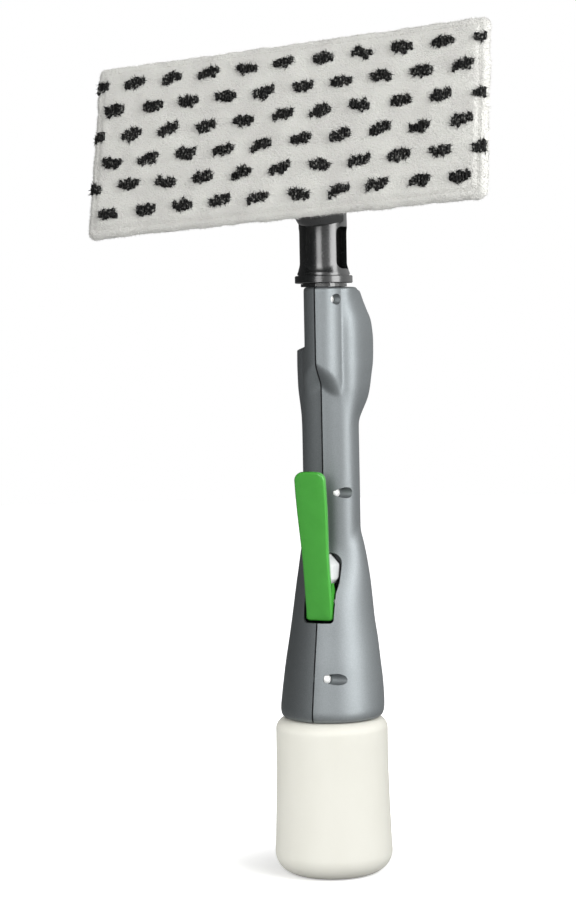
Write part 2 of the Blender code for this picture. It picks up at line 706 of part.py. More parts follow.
def housing_fittings():
    """The bulkheads, bosses and posts inside the housing, trimmed to the middle of its wall."""
    reach = POD_BACK + HOUSING_WALL

    def build(form):
        hole = SPIGOT_RADIUS + SEAT_GAP
        foot = HOUSING_TOP - SPIGOT_LENGTH
        washer(form, hole, SPIGOT_SHELF_RADIUS, foot, foot + BULKHEAD, Matrix())
        socket_hole = SOCKET_SKIRT_RADIUS + SEAT_GAP
        low = SOCKET_FLANGE_HEIGHT - SEAT_GAP
        high = SOCKET_FLANGE_HEIGHT + SOCKET_FLANGE_THICKNESS + SEAT_GAP
        washer(form, socket_hole, reach, low - BULKHEAD, low, Matrix())
        washer(form, socket_hole, reach, high, high + BULKHEAD, Matrix())
        pump = Matrix.Translation((0, 0, PUMP_HEIGHT)) @ TO_Y
        for place in (0, PUMP_BACK * PUMP_COLLAR_SHARE):
            rim = RIM_RADIUS * PUMP_COLLAR_REACH_SHARE
            washer(form, PUMP_OUTER_RADIUS + SEAT_GAP, rim, place, place + BULKHEAD, pump)
        for setback, height in screw_places().values():
            rod_mesh(form, SCREW_BOSS_RADIUS, reach * 2, Matrix.Translation((0, setback, height)) @ TO_X)
        post_start = TRIGGER_BOTTOM_WIDTH / 2 + SEAT_GAP * 3
        for side in (-1, 1):
            centre = side * (post_start + reach) / 2
            place = Matrix.Translation((centre, PIVOT_SETBACK, PIVOT_HEIGHT)) @ TO_X
            rod_mesh(form, PIN_POST_RADIUS, reach - post_start, place)

    def build_middle(form):
        loft(form, [housing_ring(share, HOUSING_WALL / 2) for share in RING_SHARES], capped=True)

    middle_mesh = mesh_from(build_middle, "housing_middle")
    middle = mark_cutter(add_object("housing_middle", middle_mesh, None, CUTTERS))
    fittings_mesh = mesh_from(build, "housing_fittings")
    fittings = mark_cutter(add_object("housing_fittings", fittings_mesh, None, CUTTERS))
    return combine(fittings, middle, "INTERSECT")


def slot_cutter():
    """The trigger's opening, as its outline from the front driven through the front wall."""
    low, high = SLOT_BOTTOM_WIDTH / 2, SLOT_WIDTH / 2
    corners = [
        (-low, SLOT_BOTTOM),
        (low, SLOT_BOTTOM),
        (high, SLOT_SHOULDER),
        (high, SLOT_TOP),
        (-high, SLOT_TOP),
        (-high, SLOT_SHOULDER),
    ]
    fillets = [SLOT_BOTTOM_FILLET] * 2 + [0] + [SLOT_TOP_FILLET] * 2 + [0]
    mesh = outline_mesh("slot_cutter", rounded_outline(corners, fillets), (SLOT_FRONT - SLOT_BACK) / 2)
    centre = Matrix.Translation((0, -(SLOT_FRONT + SLOT_BACK) / 2, 0))
    mesh.transform(centre @ Matrix.Rotation(math.radians(90), 4, "X"))
    return mark_cutter(add_object("slot_cutter", mesh, None, CUTTERS))


def housing_halves():
    """The two moulded halves of the handle."""
    fittings = housing_fittings()
    slot = slot_cutter()
    nozzle_place = Matrix.Translation(NOZZLE_POINT) @ Matrix.Rotation(NOZZLE_TILT, 4, "X") @ TO_Y
    hole_radius = NOZZLE_RADIUS + SEAT_GAP
    nozzle_hole = rod("nozzle_hole", hole_radius, NOZZLE_FLANGE_DEPTH * 2, nozzle_place, None, True)
    pin_place = Matrix.Translation((0, PIVOT_SETBACK, PIVOT_HEIGHT)) @ TO_X
    pin_hole = rod("pin_hole", PIN_BORE_RADIUS, PIVOT_PIN_LENGTH + SEAT_GAP * 2, pin_place, None, True)
    for side, name in ((1, "handle_shell_right"), (-1, "handle_shell_left")):
        surface = mesh_from(housing_surface, name)
        surface.shade_smooth()
        shell = add_object(name, surface, HANDLE_GREY)
        solidify = shell.modifiers.new("wall", "SOLIDIFY")
        solidify.thickness = HOUSING_WALL
        solidify.offset = -1
        solidify.use_even_offset = True
        combine(shell, slot, "DIFFERENCE")
        combine(shell, fittings, "UNION")
        far = POD_BACK * 2 + CUTTER_OVERRUN
        tall = HOUSING_HEIGHT + CUTTER_OVERRUN
        width = POD_WIDTH + CUTTER_OVERRUN
        centre = (-side * (width - SEAT_GAP) / 2, 0, HOUSING_BOTTOM + HOUSING_HEIGHT / 2)
        other_side = mesh_from(lambda form: box_mesh(form, (width, far, tall), centre), name + "_parting")
        parting = mark_cutter(add_object(name + "_parting", other_side, None, CUTTERS))
        combine(shell, parting, "DIFFERENCE")
        combine(shell, nozzle_hole, "DIFFERENCE")
        combine(shell, pin_hole, "DIFFERENCE")
        for screw, (setback, height) in screw_places().items():
            if side > 0:
                start = SCREW_SEAT_DEPTH
                long = POD_WIDTH
                place = Matrix.Translation((start + long / 2, setback, height)) @ TO_X
                recess = rod(screw + "_recess", SCREW_RECESS_RADIUS, long, place, None, True)
                combine(shell, recess, "DIFFERENCE")
            bore = SCREW_SHANK_RADIUS + RUNNING_GAP
            place = Matrix.Translation((0, setback, height)) @ TO_X
            length = (SCREW_SHANK_LENGTH - SCREW_SEAT_DEPTH + SEAT_GAP) * 2
            name_of_bore = screw + ("_bore_right" if side > 0 else "_bore_left")
            combine(shell, rod(name_of_bore, bore, length, place, None, True, steps=12), "DIFFERENCE")


def screws():
    """The three pan-head screws, heads seated in the right half's recesses."""
    seat = SCREW_SEAT_DEPTH + SEAT_GAP
    profile = [
        (0, -SCREW_SHANK_LENGTH),
        (0, SCREW_HEAD_HEIGHT),
        (SCREW_HEAD_RADIUS * SCREW_CROWN_SHARE, SCREW_HEAD_HEIGHT),
        (SCREW_HEAD_RADIUS, SCREW_HEAD_HEIGHT / 2),
        (SCREW_HEAD_RADIUS, 0),
        (SCREW_SHANK_RADIUS, 0),
        (SCREW_SHANK_RADIUS, -SCREW_SHANK_LENGTH + SCREW_SHANK_RADIUS),
        (0, -SCREW_SHANK_LENGTH),
    ]
    for name, (setback, height) in screw_places().items():
        place = Matrix.Translation((seat, setback, height)) @ TO_X
        turned(name, profile[1:], STEEL, 12, place)


def trigger():
    """The green lever: a tapered plate with an ear at each side of its lower end."""
    half_top, half_bottom = TRIGGER_TOP_WIDTH / 2, TRIGGER_BOTTOM_WIDTH / 2
    corners = [(-half_bottom, 0), (half_bottom, 0), (half_top, TRIGGER_LENGTH), (-half_top, TRIGGER_LENGTH)]
    fillets = [TRIGGER_BOTTOM_FILLET] * 2 + [TRIGGER_TOP_FILLET] * 2
    mesh = outline_mesh("trigger_lever", rounded_outline(corners, fillets), TRIGGER_THICKNESS / 2)
    lean = math.atan2(TRIGGER_FRONT_AT_TOP - TRIGGER_FRONT_AT_BOTTOM, TRIGGER_LENGTH)
    foot = Vector((0, -TRIGGER_FRONT_AT_BOTTOM + TRIGGER_THICKNESS / 2, TRIGGER_BOTTOM_HEIGHT))
    pivot = Vector((0, PIVOT_SETBACK, PIVOT_HEIGHT))
    mesh.transform(Matrix.Translation(foot - pivot) @ Matrix.Rotation(math.radians(90) + lean, 4, "X"))
    lever = add_object("trigger_lever", mesh, TRIGGER_GREEN, place=Matrix.Translation(pivot))
    plate_back = foot.y - pivot.y
    ear = [
        (plate_back - TRIGGER_THICKNESS / 3, -EAR_DROP),
        (plate_back + TRIGGER_THICKNESS, -EAR_DROP),
        (EAR_EYE_RADIUS * math.cos(math.radians(-70)), EAR_EYE_RADIUS * math.sin(math.radians(-70))),
        *arc((0, 0), EAR_EYE_RADIUS, -50, 70, 5),
        (plate_back + TRIGGER_THICKNESS / 3, EAR_RISE),
        (plate_back - TRIGGER_THICKNESS / 3, EAR_RISE),
    ]
    upright = Matrix(((0, 0, 1, 0), (1, 0, 0, 0), (0, 1, 0, 0), (0, 0, 0, 1)))
    for side, name in ((1, "trigger_ear_right"), (-1, "trigger_ear_left")):
        mesh = outline_mesh(name, ear, EAR_THICKNESS / 2)
        mesh.transform(Matrix.Translation((side * (half_bottom - EAR_THICKNESS / 2), 0, 0)) @ upright)
        ear_solid = mark_cutter(add_object(name, mesh, None, CUTTERS, place=Matrix.Translation(pivot)))
        combine(lever, ear_solid, "UNION")
    bore_place = Matrix.Translation(pivot) @ TO_X
    bore = rod("trigger_bore", PIN_BORE_RADIUS, TRIGGER_TOP_WIDTH * 2, bore_place, None, True)
    combine(lever, bore, "DIFFERENCE")
    bevel(lever, TRIGGER_EDGE)
    rod("trigger_pin", PIVOT_PIN_RADIUS, PIVOT_PIN_LENGTH, Matrix.Translation(pivot) @ TO_X, STEEL)


def pump():
    """The pump across the handle: cap, piston, seal, spring, cylinder and its two valves."""
    axis = Matrix.Translation((0, 0, PUMP_HEIGHT)) @ TO_Y
    dome_radius = (CAP_RADIUS**2 + CAP_DOME**2) / (2 * CAP_DOME)
    spread = math.degrees(math.asin(CAP_RADIUS / dome_radius))
    dome = arc((0, dome_radius - CAP_FRONT), dome_radius, spread - 90, -90, 5)
    inner = CAP_RADIUS - CAP_WALL
    crown = CAP_CROWN - CAP_FRONT
    cap_end = CAP_LENGTH - CAP_FRONT
    cap = [(0, crown), (inner, crown), (inner, cap_end), (CAP_RADIUS, cap_end), *dome[:-1], (0, -CAP_FRONT)]
    turned("piston_cap", cap, WHITE_ACETAL, place=axis)

    rod_front = crown + SEAT_GAP
    head_front = PISTON_HEAD_SETBACK
    head_back = head_front + PISTON_HEAD_LENGTH
    groove_low = head_front + (PISTON_HEAD_LENGTH - PISTON_GROOVE_LENGTH) / 2
    groove_high = groove_low + PISTON_GROOVE_LENGTH
    piston = [
        (0, head_back),
        (PISTON_HEAD_RADIUS, head_back),
        (PISTON_HEAD_RADIUS, groove_high),
        (PISTON_GROOVE_RADIUS, groove_high),
        (PISTON_GROOVE_RADIUS, groove_low),
        (PISTON_HEAD_RADIUS, groove_low),
        (PISTON_HEAD_RADIUS, head_front),
        (PISTON_ROD_RADIUS, head_front),
        (PISTON_ROD_RADIUS, rod_front),
        (0, rod_front),
    ]
    turned("pump_piston", piston, WHITE_ACETAL, SMALL_ROUND_STEPS, axis)
    seal_inner = PISTON_GROOVE_RADIUS + RUNNING_GAP
    seal_outer = PUMP_BORE_RADIUS - RUNNING_GAP
    low, high = groove_low + RUNNING_GAP, groove_high - RUNNING_GAP
    seal = [(seal_inner, low), (seal_inner, high), (seal_outer, high), (seal_outer, low)]
    turned("piston_seal", seal, RUBBER, ROUND_STEPS, axis, closed=True)

    floor = PUMP_BACK - PUMP_END_WALL
    barrel = [
        (0, floor),
        (PUMP_BORE_RADIUS, floor),
        (PUMP_BORE_RADIUS, -PUMP_FRONT),
        (PUMP_OUTER_RADIUS, -PUMP_FRONT),
        (PUMP_OUTER_RADIUS, PUMP_BACK),
        (0, PUMP_BACK),
    ]
    cylinder = turned("pump_cylinder", list(reversed(barrel)), WHITE_ACETAL, ROUND_STEPS, axis)
    port = Matrix.Translation((0, NIPPLE_SETBACK, PUMP_HEIGHT))
    nipples = rod("pump_nipples", NIPPLE_RADIUS, NIPPLE_REACH * 2, port, None, True)
    combine(cylinder, nipples, "UNION")
    passage = rod("pump_passage", NIPPLE_BORE_RADIUS, NIPPLE_REACH * 3, port, None, True)
    combine(cylinder, passage, "DIFFERENCE")
    inner_port = Matrix.Translation((0, (floor + NIPPLE_SETBACK) / 2, PUMP_HEIGHT)) @ TO_Y
    port_bore = rod("pump_port", PUMP_PORT_RADIUS, PUMP_END_WALL, inner_port, None, True, steps=8)
    combine(cylinder, port_bore, "DIFFERENCE")

    valve = [
        (0, VALVE_LENGTH / 2),
        (VALVE_RADIUS * VALVE_TIP_SHARE, VALVE_LENGTH / 2),
        (VALVE_RADIUS, -VALVE_LENGTH / 6),
        (VALVE_RADIUS, -VALVE_LENGTH / 2),
        (0, -VALVE_LENGTH / 2),
    ]
    for name, rise in (("inlet_valve", -1), ("outlet_valve", 1)):
        place = Matrix.Translation((0, NIPPLE_SETBACK, PUMP_HEIGHT + rise * NIPPLE_REACH * VALVE_SEAT_SHARE))
        turned(name, valve, RUBBER, SMALL_ROUND_STEPS, place)

    spring_front = head_back + SEAT_GAP + SPRING_WIRE_RADIUS
    spring_back = floor - SEAT_GAP - SPRING_WIRE_RADIUS
    spring(axis, spring_front, spring_back)


def spring(axis, low, high):
    """The pump's return spring, one unbroken wire wound about the pump's axis."""
    per_turn = 9
    count = SPRING_TURNS * per_turn + 1
    points = []
    for i in range(count):
        angle = math.tau * i / per_turn
        height = blend(low, high, i / (count - 1))
        points.append(Vector((SPRING_RADIUS * math.cos(angle), SPRING_RADIUS * math.sin(angle), height)))
    wire("pump_spring", points, SPRING_WIRE_RADIUS, STEEL, axis, 1)
    pitch = (high - low) / SPRING_TURNS
    print("spring: least gap between turns %.2f mm" % ((pitch - 2 * SPRING_WIRE_RADIUS) * 1000))


def wire(name, points, radius, material, place=None, resolution=2):
    """A round wire or tube along a line of points, made a mesh with its end caps welded."""
    curve = bpy.data.curves.new(name, "CURVE")
    curve.dimensions = "3D"
    curve.bevel_depth = radius
    curve.bevel_resolution = resolution
    curve.use_fill_caps = True
    spline = curve.splines.new("POLY")
    spline.points.add(len(points) - 1)
    for point, spot in zip(spline.points, points):
        point.co = (*spot, 1)
    mesh = plain_mesh(curve)
    smooth(mesh)
    return add_object(name, mesh, material, place=place)


def smooth_route(knots, steps=4):
    """Points on a smooth curve through the knots of a tube's route, paced by the distances between them."""
    knots = [Vector(knot) for knot in knots]
    padded = [knots[0] * 2 - knots[1], *knots, knots[-1] * 2 - knots[-2]]
    points = []
    for a, b, c, d in zip(padded, padded[1:], padded[2:], padded[3:]):
        before, here, after = (b - a).length ** 0.5, (c - b).length ** 0.5, (d - c).length ** 0.5
        leave = (b - a) / before - (c - a) / (before + here) + (c - b) / here
        arrive = (c - b) / here - (d - b) / (here + after) + (d - c) / after
        for i in range(steps):
            t = i / steps
            start = b * (2 * t**3 - 3 * t**2 + 1) + leave * (here * (t**3 - 2 * t**2 + t))
            points.append(start + c * (3 * t**2 - 2 * t**3) + arrive * (here * (t**3 - t**2)))
    points.append(knots[-1])
    return points


def tubes():
    """The dip tube with its strainer, and the tube that feeds the nozzle."""
    low_end = PUMP_HEIGHT - NIPPLE_REACH - SEAT_GAP
    filter_top = FILTER_LIFT + FILTER_LENGTH
    tube_foot = filter_top - FILTER_SOCKET_DEPTH + SEAT_GAP
    aside = BOTTLE_NECK_RADIUS / 4
    start, halfway, neck = (blend(low_end, BOTTLE_TOP, share) for share in DIP_ROUTE_SHARES)
    dip = [
        (0, NIPPLE_SETBACK, low_end),
        (0, NIPPLE_SETBACK, start),
        (0, (NIPPLE_SETBACK + aside) / 2, halfway),
        (0, aside, neck),
        (0, aside, BOTTLE_TOP * DIP_DROP_SHARE),
        (0, aside, filter_top),
        (0, aside, tube_foot),
    ]
    wire("dip_tube", smooth_route(dip), TUBE_RADIUS, TUBE_PE)
    socket = TUBE_RADIUS + SEAT_GAP
    strainer = [
        (0, tube_foot - SEAT_GAP),
        (socket, tube_foot - SEAT_GAP),
        (socket, filter_top),
        (FILTER_RADIUS * FILTER_NECK_SHARE, filter_top),
        (FILTER_RADIUS, filter_top - FILTER_RADIUS * FILTER_SHOULDER_SHARE),
        (FILTER_RADIUS, FILTER_LIFT),
        (0, FILTER_LIFT),
    ]
    turned("dip_filter", strainer, WHITE_ACETAL, SMALL_ROUND_STEPS, Matrix.Translation((0, aside, 0)))

    rear = NOZZLE_POINT - NOZZLE_AXIS * (NOZZLE_INNER_LENGTH + SEAT_GAP)
    straight = rear - NOZZLE_AXIS * TUBE_RADIUS
    in_grip = (GRIP_BACK - GRIP_FRONT) / 2 + TUBE_RADIUS * 2
    low, high, bend = (blend(PUMP_HEIGHT, NOZZLE_HEIGHT, share) for share in DELIVERY_ROUTE_SHARES)
    delivery = [
        (0, NIPPLE_SETBACK, PUMP_HEIGHT + NIPPLE_REACH + SEAT_GAP),
        (0, NIPPLE_SETBACK, PUMP_HEIGHT + NIPPLE_REACH * DELIVERY_START_SHARE),
        (0, in_grip, low),
        (0, in_grip, high),
        (0, blend(in_grip, straight.y, DELIVERY_BEND_SHARE), bend),
        straight,
        rear,
    ]
    wire("delivery_tube", smooth_route(delivery), TUBE_RADIUS, TUBE_PE)


def nozzle():
    """The spray nozzle in the pod's back, and the cap that opens and shuts it."""
    place = Matrix.Translation(NOZZLE_POINT) @ Matrix.Rotation(NOZZLE_TILT, 4, "X") @ TO_Y
    flange_low = -NOZZLE_FLANGE_DEPTH - NOZZLE_FLANGE_THICKNESS
    tip = NOZZLE_STAND_OUT + NOZZLE_TIP_LENGTH
    body = [
        (NOZZLE_ORIFICE_RADIUS, -NOZZLE_INNER_LENGTH),
        (NOZZLE_ORIFICE_RADIUS, tip),
        (NOZZLE_TIP_RADIUS, tip),
        (NOZZLE_TIP_RADIUS, NOZZLE_STAND_OUT),
        (NOZZLE_RADIUS, NOZZLE_STAND_OUT),
        (NOZZLE_RADIUS, -NOZZLE_FLANGE_DEPTH),
        (NOZZLE_FLANGE_RADIUS, -NOZZLE_FLANGE_DEPTH),
        (NOZZLE_FLANGE_RADIUS, flange_low),
        (NOZZLE_TIP_RADIUS, flange_low),
        (NOZZLE_TIP_RADIUS, -NOZZLE_INNER_LENGTH),
    ]
    turned("nozzle_body", body, NECK_GREY, SMALL_ROUND_STEPS, place, closed=True)
    low = NOZZLE_STAND_OUT + SEAT_GAP
    high = low + NOZZLE_CAP_LENGTH
    bore = NOZZLE_TIP_RADIUS + RUNNING_GAP
    cap = [
        (NOZZLE_ORIFICE_RADIUS, tip + SEAT_GAP),
        (NOZZLE_ORIFICE_RADIUS, high),
        (NOZZLE_CAP_RADIUS - NOZZLE_CAP_EDGE, high),
        (NOZZLE_CAP_RADIUS, high - NOZZLE_CAP_EDGE),
        (NOZZLE_CAP_RADIUS, low),
        (bore, low),
        (bore, tip + SEAT_GAP),
    ]
    turned("nozzle_cap", cap, NECK_GREY, SMALL_ROUND_STEPS, place, closed=True)


def bottle():
    """The blow-moulded bottle, open at its neck."""
    inner = BOTTLE_WALL
    shoulder_centre = (
        BOTTLE_SHOULDER_RADIUS - BOTTLE_SHOULDER_FILLET,
        BOTTLE_SHOULDER_HEIGHT - BOTTLE_SHOULDER_FILLET,
    )
    base_centre = (BOTTLE_RADIUS - BOTTLE_BASE_FILLET, BOTTLE_BASE_FILLET)
    neck_foot = BOTTLE_SHOULDER_HEIGHT + BOTTLE_NECK_FOOT_RISE
    neck_inner = BOTTLE_NECK_RADIUS - inner
    inside = [
        (0, inner),
        *arc(base_centre, BOTTLE_BASE_FILLET - inner, -90, 0, 3),
        *arc(shoulder_centre, BOTTLE_SHOULDER_FILLET - inner, 0, 90, 2),
        (neck_inner, neck_foot - inner),
        (neck_inner, BOTTLE_TOP),
    ]
    outside = [
        (BOTTLE_NECK_RADIUS, BOTTLE_TOP),
        (BOTTLE_NECK_RADIUS, neck_foot),
        *arc(shoulder_centre, BOTTLE_SHOULDER_FILLET, 90, 0, 3),
        *arc(base_centre, BOTTLE_BASE_FILLET, 0, -90, 5),
        (0, 0),
    ]
    turned("bottle", inside + outside, CLEAR_HDPE, 32)


def socket():
    """The threaded socket that the bottle screws into, and the washer that seals it."""
    gasket_low = BOTTLE_TOP + SEAT_GAP
    gasket_high = gasket_low + GASKET_THICKNESS
    ring_inner = BOTTLE_NECK_RADIUS - BOTTLE_WALL
    ring = [
        (ring_inner, gasket_low),
        (ring_inner, gasket_high),
        (BOTTLE_NECK_RADIUS, gasket_high),
        (BOTTLE_NECK_RADIUS, gasket_low),
    ]
    turned("bottle_gasket", ring, RUBBER, ROUND_STEPS, closed=True)
    roof_low = gasket_high + SEAT_GAP
    roof_high = roof_low + SOCKET_ROOF
    skirt_low = roof_high - SOCKET_SKIRT_LENGTH
    bore = BOTTLE_NECK_RADIUS + THREAD_CLEARANCE
    flange_low = SOCKET_FLANGE_HEIGHT
    flange_high = flange_low + SOCKET_FLANGE_THICKNESS
    body = [
        (bore, skirt_low),
        (bore, roof_low),
        (SOCKET_HOLE_RADIUS, roof_low),
        (SOCKET_HOLE_RADIUS, roof_high),
        (SOCKET_SKIRT_RADIUS, roof_high),
        (SOCKET_SKIRT_RADIUS, flange_high),
        (SOCKET_FLANGE_RADIUS, flange_high),
        (SOCKET_FLANGE_RADIUS, flange_low),
        (SOCKET_SKIRT_RADIUS, flange_low),
        (SOCKET_SKIRT_RADIUS, skirt_low),
    ]
    turned("bottle_socket", body, WHITE_ACETAL, ROUND_STEPS, closed=True)


def neck_plug():
    """The dark plug on the handle's top, notched for the top screw."""
    flange_low = HOUSING_TOP + SEAT_GAP
    flange_high = flange_low + SPIGOT_FLANGE_THICKNESS
    foot = HOUSING_TOP - SPIGOT_LENGTH
    body = [
        (SPIGOT_BORE_RADIUS, foot),
        (SPIGOT_BORE_RADIUS, SPIGOT_PLUG_TOP),
        (SPIGOT_PLUG_RADIUS, SPIGOT_PLUG_TOP),
        (SPIGOT_PLUG_RADIUS, flange_high + SEAT_GAP),
        (SPIGOT_RING_RADIUS, flange_high + SEAT_GAP),
        (SPIGOT_RING_RADIUS, flange_high),
        (SPIGOT_FLANGE_RADIUS, flange_high),
        (SPIGOT_FLANGE_RADIUS, flange_low),
        (SPIGOT_RADIUS, flange_low),
        (SPIGOT_RADIUS, foot),
    ]
    plug = turned("neck_spigot", body, NECK_GREY, ROUND_STEPS, closed=True)
    place = Matrix.Translation((0, TOP_SCREW_SETBACK, TOP_SCREW_HEIGHT)) @ TO_X
    notch = rod("spigot_notch", SCREW_BOSS_RADIUS + SEAT_GAP, SPIGOT_FLANGE_RADIUS * 4, place, None, True)
    combine(plug, notch, "DIFFERENCE")


def neck_arm():
    """The sleeve over the plug, sweeping forwards as an arm that ends in the joint's fork."""
    bore_base = SLEEVE_BOTTOM
    collar_top = bore_base + SLEEVE_COLLAR_HEIGHT
    groove_top = collar_top + SLEEVE_GROOVE_HEIGHT
    flare_top = groove_top + SLEEVE_FLARE_HEIGHT
    rings = []
    for radius, height in (
        (SLEEVE_COLLAR_RADIUS, bore_base),
        (SLEEVE_COLLAR_RADIUS, collar_top),
        (SLEEVE_GROOVE_RADIUS, collar_top),
        (SLEEVE_GROOVE_RADIUS, groove_top),
        (SLEEVE_FLARE_RADIUS, groove_top),
        (blend(SLEEVE_FLARE_RADIUS, SLEEVE_RADIUS, SLEEVE_FADE_SHARE), (groove_top + flare_top) / 2),
        (SLEEVE_RADIUS, flare_top),
        (SLEEVE_RADIUS, ARM_START_HEIGHT),
    ):
        rings.append(circle_ring(Vector((0, 0, height)), 0, radius))
    for i in range(1, ARM_STEPS + 1):
        t = i / ARM_STEPS
        ahead = arm_point(t) - arm_point(t - 1 / ARM_STEPS)
        tilt = math.atan2(-ahead.y, ahead.z)
        swell = SLEEVE_RADIUS + ARM_FLARE * ramp(t, 0, ARM_FLARE_SHARE)
        radius = blend(swell, ARM_END_RADIUS, ramp(t, ARM_FLARE_SHARE, 1))
        rings.append(circle_ring(arm_point(t), tilt, radius))
    mesh = mesh_from(lambda form: loft(form, rings, capped=True), "neck_sleeve")
    smooth(mesh)
    sleeve = add_object("neck_sleeve", mesh, NECK_GREY)

    foot = ROLL_HEIGHT - FORK_FOOT_DROP
    stadium = [
        (-FORK_EYE_RADIUS, foot),
        (FORK_EYE_RADIUS, foot),
        *arc((0, ROLL_HEIGHT), FORK_EYE_RADIUS, 0, 180, 8),
    ]
    half_depth = BLOCK_EYE_THICKNESS / 2 + SEAT_GAP + FORK_TINE
    fork_mesh = outline_mesh("neck_fork", stadium, half_depth)
    fork_mesh.transform(Matrix.Translation((0, ROLL_SETBACK, 0)) @ Matrix.Rotation(math.radians(90), 4, "X"))
    fork = mark_cutter(add_object("neck_fork", fork_mesh, None, CUTTERS))
    combine(sleeve, fork, "UNION")

    gap = BLOCK_EYE_THICKNESS + SEAT_GAP * 2
    gap_low = ROLL_HEIGHT - BLOCK_EYE_RADIUS - SEAT_GAP
    gap_high = ROLL_HEIGHT + CUTTER_OVERRUN
    gap_size = (ARM_END_RADIUS * 4, gap, gap_high - gap_low)
    gap_centre = (0, ROLL_SETBACK, (gap_low + gap_high) / 2)
    gap_mesh = mesh_from(lambda form: box_mesh(form, gap_size, gap_centre), "fork_gap")
    combine(sleeve, mark_cutter(add_object("fork_gap", gap_mesh, None, CUTTERS)), "DIFFERENCE")
    roll_axis = Matrix.Translation((0, ROLL_SETBACK, ROLL_HEIGHT)) @ TO_Y
    combine(sleeve, rod("fork_bore", JOINT_BORE_RADIUS, half_depth * 3, roll_axis, None, True), "DIFFERENCE")

    bore_length = SLEEVE_BORE_TOP - bore_base + CUTTER_OVERRUN
    bore_place = Matrix.Translation((0, 0, SLEEVE_BORE_TOP - bore_length / 2))
    bore = rod("sleeve_bore", SLEEVE_BORE_RADIUS, bore_length, bore_place, None, True, steps=ROUND_STEPS)
    combine(sleeve, bore, "DIFFERENCE")
    half = WINDOW_WIDTH / 2
    corners = [(-half, WINDOW_BOTTOM), (half, WINDOW_BOTTOM), (half, WINDOW_TOP), (-half, WINDOW_TOP)]
    window = rounded_outline(corners, [WINDOW_FILLET] * 4, 3)
    window_mesh = outline_mesh("sleeve_window", window, SLEEVE_COLLAR_RADIUS * 2)
    upright = Matrix(((0, 0, 1, 0), (1, 0, 0, 0), (0, 1, 0, 0), (0, 0, 0, 1)))
    window_mesh.transform(upright)
    combine(sleeve, mark_cutter(add_object("sleeve_window", window_mesh, None, CUTTERS)), "DIFFERENCE")


def arm_point(t):
    """A point on the arm's centre line, which leaves the sleeve upright and bends forwards."""
    rise = 1 - (1 - t) ** ARM_BEND_SHARE
    return Vector((0, -ARM_REACH * t**ARM_BEND_SHARE, ARM_START_HEIGHT + ARM_RISE * rise))


def circle_ring(centre, tilt, radius, points=28):
    """A ring of points about a centre, tilted forwards about X."""
    turn = Matrix.Rotation(tilt, 3, "X")
    angles = [math.tau * i / points for i in range(points)]
    return [centre + turn @ Vector((radius * math.cos(a), radius * math.sin(a), 0)) for a in angles]


def joint_frames():
    """Empties on the roll axis and on the pitch axis, at the angles of the photograph."""
    roll = bpy.data.objects.new("roll_frame", None)
    PARTS.objects.link(roll)
    axis_place = Matrix.Translation((0, ROLL_SETBACK, ROLL_HEIGHT))
    roll.matrix_local = axis_place @ Matrix.Rotation(ROLL_REST, 4, "Y")
    pitch = bpy.data.objects.new("pitch_frame", None)
    PARTS.objects.link(pitch)
    pitch.parent = roll
    pitch.matrix_local = Matrix.Translation((0, 0, PITCH_RISE)) @ Matrix.Rotation(PITCH_REST, 4, "X")
    return roll, pitch


def headed_pin(name, length, place, parent=None):
    """A steel pin with a flat head at its far end."""
    half = length / 2
    profile = [
        (0, half + JOINT_PIN_HEAD),
        (JOINT_PIN_HEAD_RADIUS, half + JOINT_PIN_HEAD),
        (JOINT_PIN_HEAD_RADIUS, half),
        (JOINT_PIN_RADIUS, half),
        (JOINT_PIN_RADIUS, -half),
        (0, -half),
    ]
    turned(name, profile, STEEL, SMALL_ROUND_STEPS, place, parent)


def head_joint(roll, pitch):
    """The cross block between its two pins."""
    half_depth = BLOCK_EYE_THICKNESS / 2 + SEAT_GAP + FORK_TINE
    roll_place = Matrix.Translation((0, ROLL_SETBACK, ROLL_HEIGHT)) @ TO_Y
    headed_pin("roll_pin", (half_depth + SEAT_GAP) * 2, roll_place)
    block = rod("joint_block", BLOCK_EYE_RADIUS, BLOCK_EYE_THICKNESS, TO_Y, NECK_GREY, parent=roll)
    barrel_place = Matrix.Translation((0, 0, PITCH_RISE)) @ TO_X
    barrel = rod("block_barrel", BLOCK_BARREL_RADIUS, BLOCK_BARREL_LENGTH, barrel_place, None, True, roll)
    combine(block, barrel, "UNION")
    roll_bore = rod("block_roll_bore", JOINT_BORE_RADIUS, BLOCK_EYE_THICKNESS * 2, TO_Y, None, True, roll)
    combine(block, roll_bore, "DIFFERENCE")
    bore_length = BLOCK_BARREL_LENGTH * 2
    pitch_bore = rod("block_pitch_bore", JOINT_BORE_RADIUS, bore_length, barrel_place, None, True, roll)
    combine(block, pitch_bore, "DIFFERENCE")
    width = BLOCK_BARREL_LENGTH + (BRACKET_EAR_THICKNESS + SEAT_GAP * 2) * 2
    headed_pin("pitch_pin", width, TO_X, pitch)


def rounded_slab(name, width, height, thickness, corner, steps=4):
    """A flat rounded slab in the head's plane, with its thickness forwards and back."""
    x, z = width / 2, height / 2
    outline = rounded_outline([(-x, -z), (x, -z), (x, z), (-x, z)], [corner] * 4, steps)
    mesh = outline_mesh(name, outline, thickness / 2)
    mesh.transform(Matrix.Rotation(math.radians(90), 4, "X"))
    return mesh


